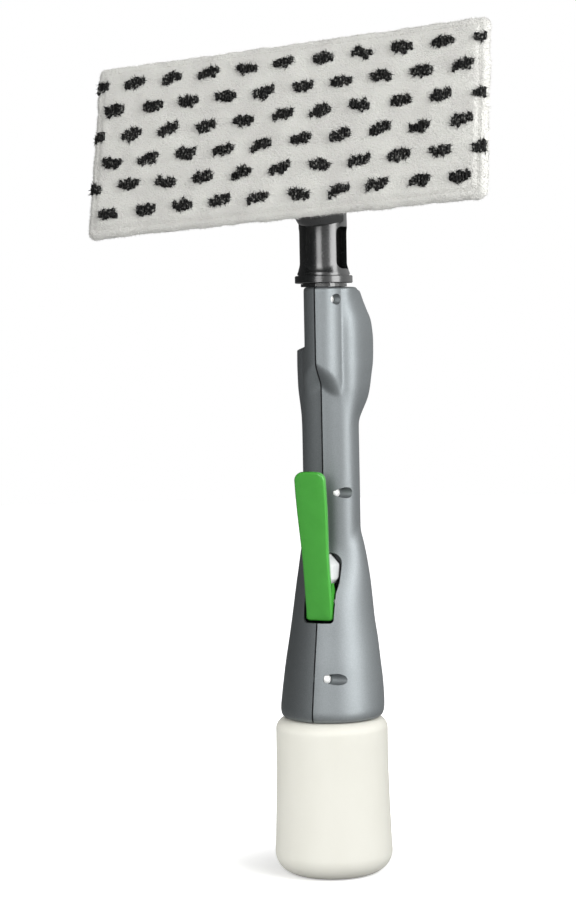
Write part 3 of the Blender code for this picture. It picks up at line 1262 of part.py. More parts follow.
def head_plate(pitch):
    """The plate behind the pad, ribbed at the back, with the two ears of the pitch pin."""
    centre = -(PLATE_BACK_REACH + PLATE_THICKNESS / 2)
    mesh = rounded_slab("head_plate", PLATE_WIDTH, PLATE_HEIGHT, PLATE_THICKNESS, PLATE_CORNER)
    mesh.transform(Matrix.Translation((0, centre, 0)))
    plate = add_object("head_plate", mesh, NECK_GREY, parent=pitch)

    rib_centre = -PLATE_BACK_REACH + (PLATE_RIB_HEIGHT - PLATE_THICKNESS / 2) / 2
    rib_depth = PLATE_RIB_HEIGHT + PLATE_THICKNESS / 2
    long_rib = PLATE_WIDTH - PLATE_RIB_INSET * 4
    rib_rise = PLATE_HEIGHT / 2 - PLATE_RIB_INSET

    def ribs(form):
        for side in (-1, 1):
            box_mesh(form, (long_rib, rib_depth, PLATE_RIB_THICKNESS), (0, rib_centre, side * rib_rise))
        for share in PLATE_RIB_SHARES:
            size = (PLATE_RIB_THICKNESS, rib_depth, rib_rise * 2 - PLATE_RIB_THICKNESS * 2)
            box_mesh(form, size, (PLATE_WIDTH * share, rib_centre, 0))

    rib_forms = add_object("plate_ribs", mesh_from(ribs, "plate_ribs"), None, CUTTERS, pitch)
    combine(plate, mark_cutter(rib_forms), "UNION")

    foot = PLATE_BACK_REACH + PLATE_THICKNESS / 2
    ear = [
        (-foot, -BRACKET_EAR_FOOT),
        *arc((0, 0), BRACKET_EAR_RADIUS, -75, 75, 8),
        (-foot, BRACKET_EAR_FOOT),
    ]
    upright = Matrix(((0, 0, 1, 0), (1, 0, 0, 0), (0, 1, 0, 0), (0, 0, 0, 1)))
    away = BLOCK_BARREL_LENGTH / 2 + SEAT_GAP + BRACKET_EAR_THICKNESS / 2
    for side, name in ((1, "plate_ear_right"), (-1, "plate_ear_left")):
        mesh = outline_mesh(name, ear, BRACKET_EAR_THICKNESS / 2)
        mesh.transform(Matrix.Translation((side * away, 0, 0)) @ upright)
        combine(plate, mark_cutter(add_object(name, mesh, None, CUTTERS, pitch)), "UNION")
    bore = rod("plate_bore", JOINT_BORE_RADIUS, away * 4, TO_X, None, True, pitch)
    combine(plate, bore, "DIFFERENCE")

    strip_reach = PLATE_BACK_REACH + PLATE_THICKNESS + SEAT_GAP + HOOK_STRIP_THICKNESS / 2
    for side, name in ((1, "hook_strip_upper"), (-1, "hook_strip_lower")):
        size = (HOOK_STRIP_WIDTH, HOOK_STRIP_HEIGHT, HOOK_STRIP_THICKNESS)
        mesh = rounded_slab(name, *size, PAD_CORNER / 2, 2)
        mesh.transform(Matrix.Translation((0, -strip_reach, side * HOOK_STRIP_SPACING / 2)))
        add_object(name, mesh, HOOK_TAPE, parent=pitch)


def tuft_places():
    """Centres of the tufts on the pad's face: rows of eleven and ten, half a pitch apart in turn."""
    places = []
    for row in range(TUFT_ROWS):
        shift = 0.5 * (row % 2)
        count = TUFT_COLUMNS - row % 2
        for column in range(count):
            x = (column + shift - (TUFT_COLUMNS - 1) / 2) * TUFT_COLUMN_PITCH
            z = ((TUFT_ROWS - 1) / 2 - row) * TUFT_ROW_PITCH
            places.append((x, z))
    return places


def cleaning_pad(pitch):
    """The padded cloth with its crowned back, and its face with the scrubbing strands."""
    back = PAD_FACE_REACH - FACE_CLOTH - SEAT_GAP - PAD_THICKNESS
    columns, rows = 12, 6

    def cage(form):
        sheets = []
        for depth_share in (0, 0.5, 1):
            sheet = []
            for j in range(rows + 1):
                line = []
                for i in range(columns + 1):
                    u, v = 2 * i / columns - 1, 2 * j / rows - 1
                    rim = max(abs(u), abs(v)) == 1
                    draw_in = PAD_THICKNESS / 3 if depth_share != 0.5 else 0
                    x = u * (PAD_WIDTH / 2 - draw_in)
                    z = v * (PAD_HEIGHT / 2 - draw_in)
                    lift = depth_share
                    if rim and depth_share != 0.5:
                        lift = 0.5 + (depth_share - 0.5) * PAD_RIM_SHARE
                    shown = rim or depth_share != 0.5
                    line.append((x, -(back + PAD_THICKNESS * lift), z) if shown else None)
                sheet.append(line)
            sheets.append(sheet)
        verts = [[[form.verts.new(p) if p else None for p in line] for line in sheet] for sheet in sheets]
        for sheet, flip in ((verts[0], True), (verts[2], False)):
            for j in range(rows):
                for i in range(columns):
                    face = (sheet[j][i], sheet[j][i + 1], sheet[j + 1][i + 1], sheet[j + 1][i])
                    form.faces.new(tuple(reversed(face)) if flip else face)
        walk = [(i, 0) for i in range(columns)] + [(columns, j) for j in range(rows)]
        walk += [(i, rows) for i in range(columns, 0, -1)] + [(0, j) for j in range(rows, 0, -1)]
        for low, high in ((verts[0], verts[1]), (verts[1], verts[2])):
            for (i, j), (k, m) in zip(walk, walk[1:] + walk[:1]):
                form.faces.new((low[j][i], low[m][k], high[m][k], high[j][i]))
        bmesh.ops.recalc_face_normals(form, faces=form.faces)

    pad = add_object("cleaning_pad", mesh_from(cage, "cleaning_pad"), PAD_CLOTH, parent=pitch)
    pad.data.shade_smooth()
    soften = pad.modifiers.new("soften", "SUBSURF")
    soften.levels = 1
    soften.render_levels = 1

    size = (PAD_WIDTH - FACE_CLOTH, PAD_HEIGHT - FACE_CLOTH, FACE_CLOTH)
    mesh = rounded_slab("scrub_tufts", *size, PAD_CORNER)
    mesh.transform(Matrix.Translation((0, -(PAD_FACE_REACH - FACE_CLOTH / 2), 0)))
    face = add_object("scrub_tufts", mesh, TUFT_FIBRE, parent=pitch)

    def strands(form):
        length = STRAND_LENGTH + STRAND_ROOT
        for x, z in tuft_places():
            for i in range(TUFT_STRAND_COLUMNS):
                for j in range(TUFT_STRAND_ROWS):
                    sx = x + (i - (TUFT_STRAND_COLUMNS - 1) / 2) * TUFT_WIDTH / TUFT_STRAND_COLUMNS
                    sz = z + (j - (TUFT_STRAND_ROWS - 1) / 2) * TUFT_HEIGHT / TUFT_STRAND_ROWS
                    if abs(sx) > PAD_WIDTH / 2 - STRAND_RADIUS * 3:
                        continue
                    place = Matrix.Translation((sx, -(PAD_FACE_REACH - STRAND_ROOT + length / 2), sz))
                    turn = Matrix.Rotation(math.radians(90), 4, "X")
                    bmesh.ops.create_cone(
                        form,
                        cap_ends=True,
                        segments=3,
                        radius1=STRAND_RADIUS,
                        radius2=STRAND_TIP_RADIUS,
                        depth=length,
                        matrix=place @ turn,
                    )

    strand_mesh = mesh_from(strands, "tuft_strands")
    print("strands:", len(strand_mesh.vertices) // 6)
    combine(face, mark_cutter(add_object("tuft_strands", strand_mesh, None, CUTTERS, pitch)), "UNION")


def main():
    """Builds the wand from the floor upwards."""
    bottle()
    socket()
    housing_halves()
    screws()
    trigger()
    pump()
    tubes()
    nozzle()
    neck_plug()
    neck_arm()
    roll, pitch = joint_frames()
    head_joint(roll, pitch)
    head_plate(pitch)
    cleaning_pad(pitch)


main()
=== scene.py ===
# %% [markdown]
# # A window cleaning wand
#
# The real object is a pump handle that stands on its own water bottle and carries a flat cloth pad on a
# two-axis joint. This file gives each of them its finish, and swaps the soft and the finely curved ones
# for meshes with more form.

import math

import bmesh
import bpy
import numpy as np
from mathutils import Matrix, Vector
from mathutils.bvhtree import BVHTree


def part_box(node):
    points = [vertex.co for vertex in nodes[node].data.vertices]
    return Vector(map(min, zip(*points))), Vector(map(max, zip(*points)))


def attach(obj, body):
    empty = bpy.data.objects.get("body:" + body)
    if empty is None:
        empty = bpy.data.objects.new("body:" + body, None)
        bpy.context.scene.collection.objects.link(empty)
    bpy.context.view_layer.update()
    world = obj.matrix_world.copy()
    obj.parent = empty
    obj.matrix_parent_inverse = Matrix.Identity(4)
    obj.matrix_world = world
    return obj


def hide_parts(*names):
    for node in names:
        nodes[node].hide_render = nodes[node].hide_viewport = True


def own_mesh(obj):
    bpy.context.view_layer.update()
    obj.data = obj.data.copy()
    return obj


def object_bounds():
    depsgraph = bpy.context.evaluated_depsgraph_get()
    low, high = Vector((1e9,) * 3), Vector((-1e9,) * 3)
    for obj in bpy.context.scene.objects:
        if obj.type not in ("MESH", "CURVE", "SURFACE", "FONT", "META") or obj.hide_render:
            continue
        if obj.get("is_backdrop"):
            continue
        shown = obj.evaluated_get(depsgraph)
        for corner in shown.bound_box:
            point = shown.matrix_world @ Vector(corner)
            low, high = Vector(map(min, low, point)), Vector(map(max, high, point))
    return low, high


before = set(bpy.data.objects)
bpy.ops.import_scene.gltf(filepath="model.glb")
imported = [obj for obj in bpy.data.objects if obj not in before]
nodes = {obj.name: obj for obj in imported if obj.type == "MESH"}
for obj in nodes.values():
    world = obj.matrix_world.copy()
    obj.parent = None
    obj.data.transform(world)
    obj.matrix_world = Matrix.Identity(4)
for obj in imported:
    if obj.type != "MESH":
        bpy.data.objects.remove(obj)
cad_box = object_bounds()


def in_scene(name, data):
    """A new object in the scene, at the origin."""
    thing = bpy.data.objects.new(name, data)
    bpy.context.scene.collection.objects.link(thing)
    return thing


# %% [markdown]
# ## The camera
#
# A product photograph of a tall thing is often taken with a level camera and a shifted lens, so that
# upright edges stay upright. Blender does the same with `shift_y`. The wand stands turned a little, so the
# camera is not straight in front of the pad but 22.5 degrees round to the side with the screws. It looks a
# little past the wand and leans by one degree, as the photograph's own frame does.

# %% Camera
PICTURE_HEIGHT = 902
FOCAL_PIXELS = 2200
CAMERA_DISTANCE = 1.364
CAMERA_HEIGHT = 0.335
CAMERA_TURN = math.radians(22.5)
AIM_PIXELS = 36.6
SHIFT_PIXELS = -121
CAMERA_ROLL = math.radians(1.05)
SENSOR_MM = 36

ahead = Vector((-math.sin(CAMERA_TURN), math.cos(CAMERA_TURN), 0))
place = -ahead * CAMERA_DISTANCE + Vector((0, 0, CAMERA_HEIGHT))
aim = Matrix.Rotation(math.atan(AIM_PIXELS / FOCAL_PIXELS), 3, "Z") @ ahead
side = aim.cross(Vector((0, 0, 1)))
right = side * math.cos(CAMERA_ROLL) - Vector((0, 0, 1)) * math.sin(CAMERA_ROLL)
above = right.cross(aim)
lens = bpy.data.cameras.new("camera")
lens.sensor_fit = "VERTICAL"
lens.sensor_height = SENSOR_MM
lens.lens = FOCAL_PIXELS / PICTURE_HEIGHT * SENSOR_MM
lens.shift_y = SHIFT_PIXELS / PICTURE_HEIGHT
camera = in_scene("camera", lens)
turned = Matrix((right, above, -aim)).transposed()
camera.matrix_world = Matrix.Translation(place) @ turned.to_4x4()
bpy.context.scene.camera = camera
print("camera at", [round(v, 3) for v in place], "lens", round(lens.lens, 1), "mm")

# %% [markdown]
# ## Helpers for colour and nodes
#
# Colours are written as the hex values that a picture program shows. Those are sRGB, and a shader wants
# linear light, so one function turns them round. A second small function adds a node, sets its values and
# joins its inputs, which keeps every material below to a few lines.


# %% Colour and node helpers
def linear(code):
    """A hex colour as four linear values."""
    parts = [int(code[i : i + 2], 16) / 255 for i in (1, 3, 5)]
    return (*[p / 12.92 if p <= 0.04045 else ((p + 0.055) / 1.055) ** 2.4 for p in parts], 1)


def node(tree, kind, inputs=(), **settings):
    """Adds a node. An input gets a value, or the output of another node."""
    made = tree.nodes.new(kind)
    for name, value in settings.items():
        setattr(made, name, value)
    for name, value in dict(inputs).items():
        if isinstance(value, bpy.types.NodeSocket):
            tree.links.new(value, made.inputs[name])
        else:
            made.inputs[name].default_value = value
    return made


def finish(name, colour, roughness, **sockets):
    """A material with its shader, and the tree and shader to add patterns to."""
    material = bpy.data.materials.new(name)
    material.use_nodes = True
    shader = material.node_tree.nodes["Principled BSDF"]
    shader.inputs["Base Color"].default_value = linear(colour)
    shader.inputs["Roughness"].default_value = roughness
    for socket, value in sockets.items():
        shader.inputs[socket.replace("_", " ")].default_value = value
    return material, material.node_tree, shader


def mottle(tree, shader, colours, size_mm, detail=3.0, stretch=(1, 1, 1), stops=(0.35, 0.65)):
    """Colour that drifts between two shades over patches of a real size."""
    place = node(tree, "ShaderNodeTexCoord").outputs["Object"]
    scaled = node(tree, "ShaderNodeMapping", {"Vector": place, "Scale": stretch}).outputs["Vector"]
    patches = {"Vector": scaled, "Scale": 1000 / size_mm, "Detail": detail}
    noise = node(tree, "ShaderNodeTexNoise", patches).outputs["Fac"]
    ramp = node(tree, "ShaderNodeValToRGB", {"Fac": noise})
    for stop, colour, where in zip(ramp.color_ramp.elements, colours, stops):
        stop.color = linear(colour)
        stop.position = where
    tree.links.new(ramp.outputs["Color"], shader.inputs["Base Color"])


def grain(tree, shader, size_mm, depth_mm, rough):
    """Fine relief of a real size and depth, and roughness that varies with it."""
    place = node(tree, "ShaderNodeTexCoord").outputs["Object"]
    ripples = {"Vector": place, "Scale": 1000 / size_mm, "Detail": 2.0}
    height = node(tree, "ShaderNodeTexNoise", ripples).outputs["Fac"]
    bump = node(tree, "ShaderNodeBump", {"Height": height, "Distance": depth_mm / 1000, "Strength": 1.0})
    tree.links.new(bump.outputs["Normal"], shader.inputs["Normal"])
    low, high = rough
    spread = node(tree, "ShaderNodeMapRange", {"Value": height, "To Min": low, "To Max": high})
    tree.links.new(spread.outputs["Result"], shader.inputs["Roughness"])


print("helpers: linear, node, finish, mottle, grain")

# %% [markdown]
# ## Floor, light and background
#
# The photograph is a studio shot on white: one broad softbox to the right of the camera, a second high in
# front, and hardly any fill from the left, so each upright form goes from dark on its left to a bright band
# right of its middle. A small fill from the left lights only the bottle. It stands for the light that the
# bottle's milky wall spreads. The sky gives white to the camera, and a dimmer grey that darkens towards the
# left to all that it lights. The floor glows white as well. Its glow is lowered in a ring round the
# bottle's foot, which paints a shadow there and also lets the real shadow of the foot show.


# %% Floor and sky
def split_for_camera(tree, for_others, for_camera):
    """One shader for what the camera sees, and another for all that the surface lights."""
    seen = node(tree, "ShaderNodeLightPath").outputs["Is Camera Ray"]
    shaders = {0: seen, 1: for_others.outputs[0], 2: for_camera.outputs[0]}
    return node(tree, "ShaderNodeMixShader", shaders).outputs[0]


FLOOR_RADIUS = 3.0
# The floor's glow is lowest at the bottle's foot and rises to its full value between these radii: a painted
# shadow.
PAINTED_SHADOW_INNER, PAINTED_SHADOW_OUTER = 0.03, 0.12
GLOW_IN_PAINTED_SHADOW, GLOW_HIGH = 0.40, 0.86
SKY_LEFT, SKY_RIGHT = -0.35, 0.8
SKY_LOW, SKY_HIGH = 0.06, 0.95
white = linear("#ffffff")

form = bmesh.new()
bmesh.ops.create_circle(form, cap_ends=True, segments=96, radius=FLOOR_RADIUS)
floor_mesh = bpy.data.meshes.new("floor")
form.to_mesh(floor_mesh)
form.free()
floor = in_scene("floor", floor_mesh)
floor_paper, tree, shader = finish(
    "white_paper_sweep", "#f4f4f3", 0.9, Specular_IOR_Level=0.1, Emission_Color=white
)
# The glow fades towards the bottle's foot. This is a painted shadow, and the real shadow shows through it.
place = node(tree, "ShaderNodeTexCoord").outputs["Object"]
reach = node(tree, "ShaderNodeVectorMath", {0: place}, operation="LENGTH").outputs["Value"]
span = {"Value": reach, "From Min": PAINTED_SHADOW_INNER, "From Max": PAINTED_SHADOW_OUTER, "To Min": GLOW_IN_PAINTED_SHADOW, "To Max": GLOW_HIGH}
glow_with_painted_shadow = node(tree, "ShaderNodeMapRange", span, interpolation_type="SMOOTHERSTEP")
tree.links.new(glow_with_painted_shadow.outputs["Result"], shader.inputs["Emission Strength"])
dull = node(tree, "ShaderNodeBsdfDiffuse", {"Color": linear("#a6a6a6")})
surface = tree.nodes["Material Output"].inputs["Surface"]
tree.links.new(split_for_camera(tree, dull, shader), surface)
floor.data.materials.append(floor_paper)
floor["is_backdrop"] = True

sky = bpy.data.worlds.new("studio")
sky.use_nodes = True
bpy.context.scene.world = sky
tree = sky.node_tree
tree.nodes.clear()
direction = node(tree, "ShaderNodeTexCoord").outputs["Generated"]
across = node(tree, "ShaderNodeSeparateXYZ", {"Vector": direction}).outputs["X"]
span = {"Value": across, "From Min": SKY_LEFT, "From Max": SKY_RIGHT, "To Min": SKY_LOW, "To Max": SKY_HIGH}
shade = node(tree, "ShaderNodeMapRange", span).outputs["Result"]
dim = node(tree, "ShaderNodeBackground", {"Color": white, "Strength": shade})
bright = node(tree, "ShaderNodeBackground", {"Color": white, "Strength": 1.0})
node(tree, "ShaderNodeOutputWorld", {"Surface": split_for_camera(tree, dim, bright)})
bpy.context.scene.view_settings.view_transform = "Standard"
print("floor", FLOOR_RADIUS * 2, "m across")


# %% Softboxes
def softbox(name, place, target, size, power):
    """A rectangular lamp that faces a point."""
    lamp = bpy.data.lights.new(name, "AREA")
    lamp.shape = "RECTANGLE"
    lamp.size, lamp.size_y = size
    lamp.energy = power
    box = in_scene(name, lamp)
    box.location = place
    box.rotation_euler = (Vector(target) - Vector(place)).to_track_quat("-Z", "Y").to_euler()
    return box


softbox("key_softbox", (1.48, -0.48, 0.75), (0, 0, 0.28), (1.0, 1.5), 27)
softbox("front_softbox", (0.08, -1.75, 0.95), (0, 0, 0.30), (0.75, 1.3), 17)
bottle_fill = softbox("bottle_fill", (-0.85, -0.85, 0.25), (0, 0, 0.05), (0.9, 0.5), 11)
print("three softboxes")

# %% [markdown]
# ## Plastics
#
# The plastics of this step are injection moulded. Moulded ABS takes the polish of its steel mould,
# so it is smooth with a very slight waviness called orange peel. The handle's ABS has aluminium flake in
# it: the flakes lie along the surface and give it the look of grey metal, which is why the shader is partly
# metallic. The inside of the housing, the walls of its slot and the groove along its seam are a dark grey
# plastic without flake. Part of that darkness is painted shade in the groove and the slot. Acetal is milky
# and waxy.

# %% Moulded plastics
grey_abs, tree, shader = finish("flake_grey_moulded_abs", "#858a8c", 0.52, Metallic=0.8)
mottle(tree, shader, ("#808587", "#8a8f91"), 0.5)
grain(tree, shader, 2.2, 0.012, rough=(0.49, 0.56))

# Dark grey without flake for the inside, the slot's walls and the seam groove. Part of its darkness is painted
# shade in the groove and the slot.
inner_abs_with_painted_shade, tree, shader = finish("dark_grey_abs_with_painted_shade", "#2c2f30", 0.55)
mottle(tree, shader, ("#292c2d", "#303334"), 3)
grain(tree, shader, 1.0, 0.01, rough=(0.5, 0.6))

green_abs, tree, shader = finish("green_moulded_abs", "#42a036", 0.34, Coat_Weight=0.4, Coat_Roughness=0.16)
mottle(tree, shader, ("#409d34", "#43a237"), 9)
grain(tree, shader, 1.6, 0.010, rough=(0.30, 0.38))

black_abs, tree, shader = finish(
    "polished_black_abs", "#1a1c1c", 0.24, Coat_Weight=1.0, Coat_Roughness=0.2, IOR=1.6
)
mottle(tree, shader, ("#141616", "#191b1b"), 4)
grain(tree, shader, 1.8, 0.006, rough=(0.22, 0.3))

white_acetal, tree, shader = finish(
    "white_moulded_acetal", "#dcdedd", 0.38, Subsurface_Weight=0.15, Subsurface_Radius=(0.004,) * 3
)
mottle(tree, shader, ("#c4c7c6", "#cccfce"), 5)
grain(tree, shader, 1.5, 0.006, rough=(0.34, 0.42))
print("plastics:", *[m.name for m in (grey_abs, inner_abs_with_painted_shade, green_abs, black_abs, white_acetal)])

# %% [markdown]
# ## Bottle, tubes, rubber and metal
#
# The bottle is natural high-density polyethylene, blown against a blasted mould. Its wall is about 1.4 mm and
# scatters the light inside it, so it looks like frosted milk glass. The tubes are extruded and clear. The
# screws, pins and spring are steel with a dull, nearly white zinc plating, and the seals are matt rubber.

# %% Other hard finishes
milky_hdpe, tree, shader = finish(
    "natural_blown_hdpe",
    "#cbcac0",
    0.58,
    Subsurface_Weight=0.3,
    Subsurface_Radius=(0.006,) * 3,
    Subsurface_Scale=1.0,
)
mottle(tree, shader, ("#c8c7bd", "#cdccc3"), 45, stretch=(1, 1, 0.4))
grain(tree, shader, 3.5, 0.02, rough=(0.52, 0.62))

clear_tube, tree, shader = finish("clear_extruded_polyethylene", "#e6ecec", 0.25, Transmission_Weight=0.6)
grain(tree, shader, 2, 0.01, rough=(0.22, 0.30))

zinc, tree, shader = finish("matt_zinc_plated_steel", "#f0f0ee", 0.5, Metallic=0.3)
mottle(tree, shader, ("#eaebea", "#f5f5f2"), 0.8)
grain(tree, shader, 0.4, 0.004, rough=(0.45, 0.55))

rubber, tree, shader = finish("black_moulded_rubber", "#161616", 0.75)
mottle(tree, shader, ("#131313", "#1b1b1b"), 3)
grain(tree, shader, 0.3, 0.01, rough=(0.68, 0.82))
print("other finishes:", milky_hdpe.name, clear_tube.name, zinc.name, rubber.name)

# %% [markdown]
# ## Cloth and fibre
#
# The pad is microfibre: very fine loops that stand up from a knitted ground, so it is matt with a soft
# sheen at its edges and a grain of about a millimetre, where loops bunch. The black tufts are stiff nylon
# for scrubbing. Their ends catch the light, and that light is painted into their colour as grey specks. The
# hook tape behind the pad is woven nylon.


# %% Cloth finishes
def pile(tree, shader, loop_mm, depth_mm):
    """The relief of short loops: cells of one loop bunch, broken up by finer noise."""
    place = node(tree, "ShaderNodeTexCoord").outputs["Object"]
    cells = node(tree, "ShaderNodeTexVoronoi", {"Vector": place, "Scale": 1000 / loop_mm})
    fine = node(tree, "ShaderNodeTexNoise", {"Vector": place, "Scale": 2500 / loop_mm, "Detail": 2.0})
    parts = {0: cells.outputs["Distance"], 1: fine.outputs["Fac"]}
    height = node(tree, "ShaderNodeMath", parts, operation="SUBTRACT").outputs[0]
    bump = node(tree, "ShaderNodeBump", {"Height": height, "Distance": depth_mm / 1000})
    tree.links.new(bump.outputs["Normal"], shader.inputs["Normal"])


microfibre, tree, shader = finish("knitted_microfibre", "#d2d2cd", 0.92, Sheen_Weight=0.3)
mottle(tree, shader, ("#cdccc8", "#d6d6d1"), 16, detail=6)
pile(tree, shader, 1.1, 0.35)

sewing_thread, tree, shader = finish("spun_polyester_thread", "#cccbc6", 0.8, Sheen_Weight=0.2)
mottle(tree, shader, ("#c0bfba", "#d6d5d0"), 2)

tuft_nylon, tree, shader = finish("black_nylon_fibre", "#0b0b0b", 0.6, Specular_IOR_Level=0.25)
# The light grey specks are painted highlights, for the glints off the fibres' ends.
mottle(tree, shader, ("#020202", "#8c8c88"), 1.3, stops=(0.56, 0.72))

hook_tape, tree, shader = finish("woven_hook_tape", "#1d1d1e", 0.8, Sheen_Weight=0.2)
mottle(tree, shader, ("#161617", "#262627"), 1.2)
pile(tree, shader, 1.3, 0.4)
print("cloth finishes:", microfibre.name, sewing_thread.name, tuft_nylon.name, hook_tape.name)

# %% [markdown]
# ## Helpers for meshes
#
# Four ways of making a form come back again and again below: a lathe for round pieces, a skin over rings of
# points, a prism for flat pieces, and one form cut out of another. The helpers put every finished mesh in an
# object at the origin, with its place in its vertices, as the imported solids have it.


# %% Mesh helpers
def piece_of(name, form, material, smooth=35):
    """Makes an object of a bmesh. Edges sharper than the angle stay sharp."""
    bmesh.ops.recalc_face_normals(form, faces=form.faces)
    mesh = bpy.data.meshes.new(name)
    form.to_mesh(mesh)
    form.free()
    mesh.shade_smooth()
    mesh.set_sharp_from_angle(angle=math.radians(smooth))
    mesh.materials.append(material)
    return in_scene(name, mesh)


def lathe(profile, steps=96, place=Matrix()):
    """A bmesh turned about Z from an outline of radius and height that starts and ends on the axis."""
    form = bmesh.new()
    rows = []
    for radius, height in profile:
        if radius == 0:
            rows.append([form.verts.new(place @ Vector((0, 0, height)))])
            continue
        angles = [math.tau * i / steps for i in range(steps)]
        points = [Vector((radius * math.cos(a), radius * math.sin(a), height)) for a in angles]
        rows.append([form.verts.new(place @ point) for point in points])
    for low, high in zip(rows, rows[1:]):
        for i in range(steps):
            j = (i + 1) % steps
            corners = (low[i % len(low)], low[j % len(low)], high[j % len(high)], high[i % len(high)])
            form.faces.new(tuple(dict.fromkeys(corners)))
    return form


def bar(radius, start, end, steps, place=Matrix()):
    """A bmesh of a round bar along Z."""
    return lathe([(0, start), (radius, start), (radius, end), (0, end)], steps, place)


def arc(centre, radius, start, end, steps):
    """Points along part of a circle, with angles in degrees."""
    angles = [math.radians(start + (end - start) * i / steps) for i in range(steps + 1)]
    return [(centre[0] + radius * math.cos(a), centre[1] + radius * math.sin(a)) for a in angles]


def rounded_rectangle(half_width, half_height, corner, steps, rise=0.0):
    """The outline of a rectangle with round corners, its middle at a height."""
    outline = []
    for sx, sy, start in ((1, -1, -90), (1, 1, 0), (-1, 1, 90), (-1, -1, 180)):
        centre = (sx * (half_width - corner), rise + sy * (half_height - corner))
        outline += arc(centre, corner, start, start + 90, steps)
    return outline


def skin(rings):
    """A bmesh with a face over the first and last ring of points, and faces between each two."""
    form = bmesh.new()
    rows = [[form.verts.new(point) for point in ring] for ring in rings]
    form.faces.new(rows[0][::-1])
    form.faces.new(rows[-1])
    for low, high in zip(rows, rows[1:]):
        for i in range(len(low)):
            j = (i + 1) % len(low)
            form.faces.new((low[i], low[j], high[j], high[i]))
    return form


def prism(outline, half_depth, place=Matrix()):
    """A bmesh pushed out both ways along Z from a flat outline."""
    return skin([[place @ Vector((x, y, z)) for x, y in outline] for z in (-half_depth, half_depth)])


def keep_result(thing):
    """Keeps what an object's modifiers make as its plain mesh."""
    graph = bpy.context.evaluated_depsgraph_get()
    result = bpy.data.meshes.new_from_object(thing.evaluated_get(graph))
    thing.modifiers.clear()
    thing.data = result


def carve(thing, form, how="DIFFERENCE", finish_number=0):
    """Cuts a bmesh out of an object, or adds it. The new faces get one of the object's finishes."""
    for face in form.faces:
        face.material_index = finish_number
    tool = piece_of("tool", form, thing.data.materials[0])
    tool.data.materials.append(thing.data.materials[-1])
    work = thing.modifiers.new("carve", "BOOLEAN")
    work.operation = how
    work.solver = "EXACT"
    work.object = tool
    keep_result(thing)
    bpy.data.objects.remove(tool)


def settle(thing, smooth=35):
    """Smooth shading for a carved object, with its cut edges sharp."""
    thing.data.shade_smooth()
    thing.data.set_sharp_from_angle(angle=math.radians(smooth))
    print(thing.name, len(thing.data.polygons), "faces")


TO_X = Matrix.Rotation(math.radians(90), 4, "Y")
TO_Y = Matrix.Rotation(math.radians(-90), 4, "X")
UPRIGHT = Matrix.Rotation(math.radians(90), 4, "X")
SIDEWAYS = Matrix(((0, 0, 1, 0), (1, 0, 0, 0), (0, 1, 0, 0), (0, 0, 0, 1)))
print("helpers: piece_of, lathe, bar, arc, rounded_rectangle, skin, prism, keep_result, carve, settle")

# %% [markdown]
# ## The moulded housing
#
# The handle is the union of four upright forms: a squarish grip, a round base that flares out, a column
# that carries the neck, and a pod that swells behind the column. The same rule made the solid. Here it is
# worked out again with far more points, so that highlights run evenly. From a line inside the handle, rays
# go out at every height, and each ray stops at the form that reaches furthest. In front, the skin falls away
# a little to each side of the seam, which is why one side of the seam is lighter than the other. Above a
# ledge, the left half is scooped out for a thumb.

# %% Sizes of the housing
HOUSING_BOTTOM = 0.0958
HOUSING_HEIGHT = 0.2653
HOUSING_TOP = HOUSING_BOTTOM + HOUSING_HEIGHT
HOUSING_WALL = 0.0024
RIM_RADIUS = 0.0326
GRIP_WIDTH, GRIP_FRONT, GRIP_BACK = 0.0354, 0.0072, 0.0194
COLUMN_WIDTH, COLUMN_FRONT = 0.0274, 0.0155
POD_WIDTH, POD_FRONT, POD_BACK = 0.0450, 0.0050, 0.0400
# How square each form's section is before and behind its widest place. A power of 2 is a round one.
GRIP_POWERS, BASE_POWERS, COLUMN_POWERS, POD_POWERS = (2.5, 2.8), (2.0, 2.0), (2.1, 2.1), (3.4, 2.2)
JOINING_POWER = 60
# Where the column's front rises out of the grip, and how far that fold slants across the handle.
FOLD_SHARES, FOLD_SLANT = (0.765, 0.826), 0.050
LEDGE_SHARES = (0.852, 0.864)
SCOOP_DEPTH, SCOOP_SPAN = 0.0056, (0.60, 0.90)
SIDE_SCOOP, SIDE_SCOOP_SPAN = 0.0038, (0.40, 0.85)
KEEL, KEEL_START_ANGLE, KEEL_FADE_ANGLE = 0.0014, 0.5, 0.9
TOP_EDGE = 0.0022
LID_THICKNESS = 0.0016
PLUG_HOLE_RADIUS = 0.0107
HALF_SEAM = 0.00015
HALF_GROOVE, GROOVE_DEPTH = 0.00048, 0.0013
RAY_START = (GRIP_BACK - GRIP_FRONT) / 2
HALVINGS = 34

# Each table gives a share of the size above at a share of the housing's height.
BASE_WIDTH = """0 1 .037 .988 .084 .955 .129 .91 .178 .855 .223 .8 .271 .755 .317 .715 .363 .665
 .389 .63 .412 .59 .434 .54 .457 .47 .48 .36 .51 .2 1 .2"""
BASE_CENTRE = "0 .15 .037 .38 .084 .59 .129 .67 .178 .87 .223 .9 .271 1.05 .317 1.1 .363 1.05 .412 1 1 1"
BASE_FRONT = """0 .966 .037 .915 .084 .85 .129 .79 .178 .71 .223 .645 .247 .61 .271 .565 .295 .505
 .317 .43 .34 .345 .363 .28 .389 .235 .412 .21 .48 .15 1 .1"""
POD_WIDTHS = """0 .7 .65 .72 .691 .79 .7135 .845 .738 .91 .7625 .955 .785 .975 .83 1 .872 1 .902 .985
 .925 .955 .947 .89 .97 .83 .989 .78 1 .73"""
POD_CENTRE = """0 .14 .65 .14 .691 .22 .7135 .3 .738 .39 .7625 .425 .785 .45 .83 .51 .872 .525
 .902 .51 .925 .487 .947 .425 .97 .35 1 .29"""
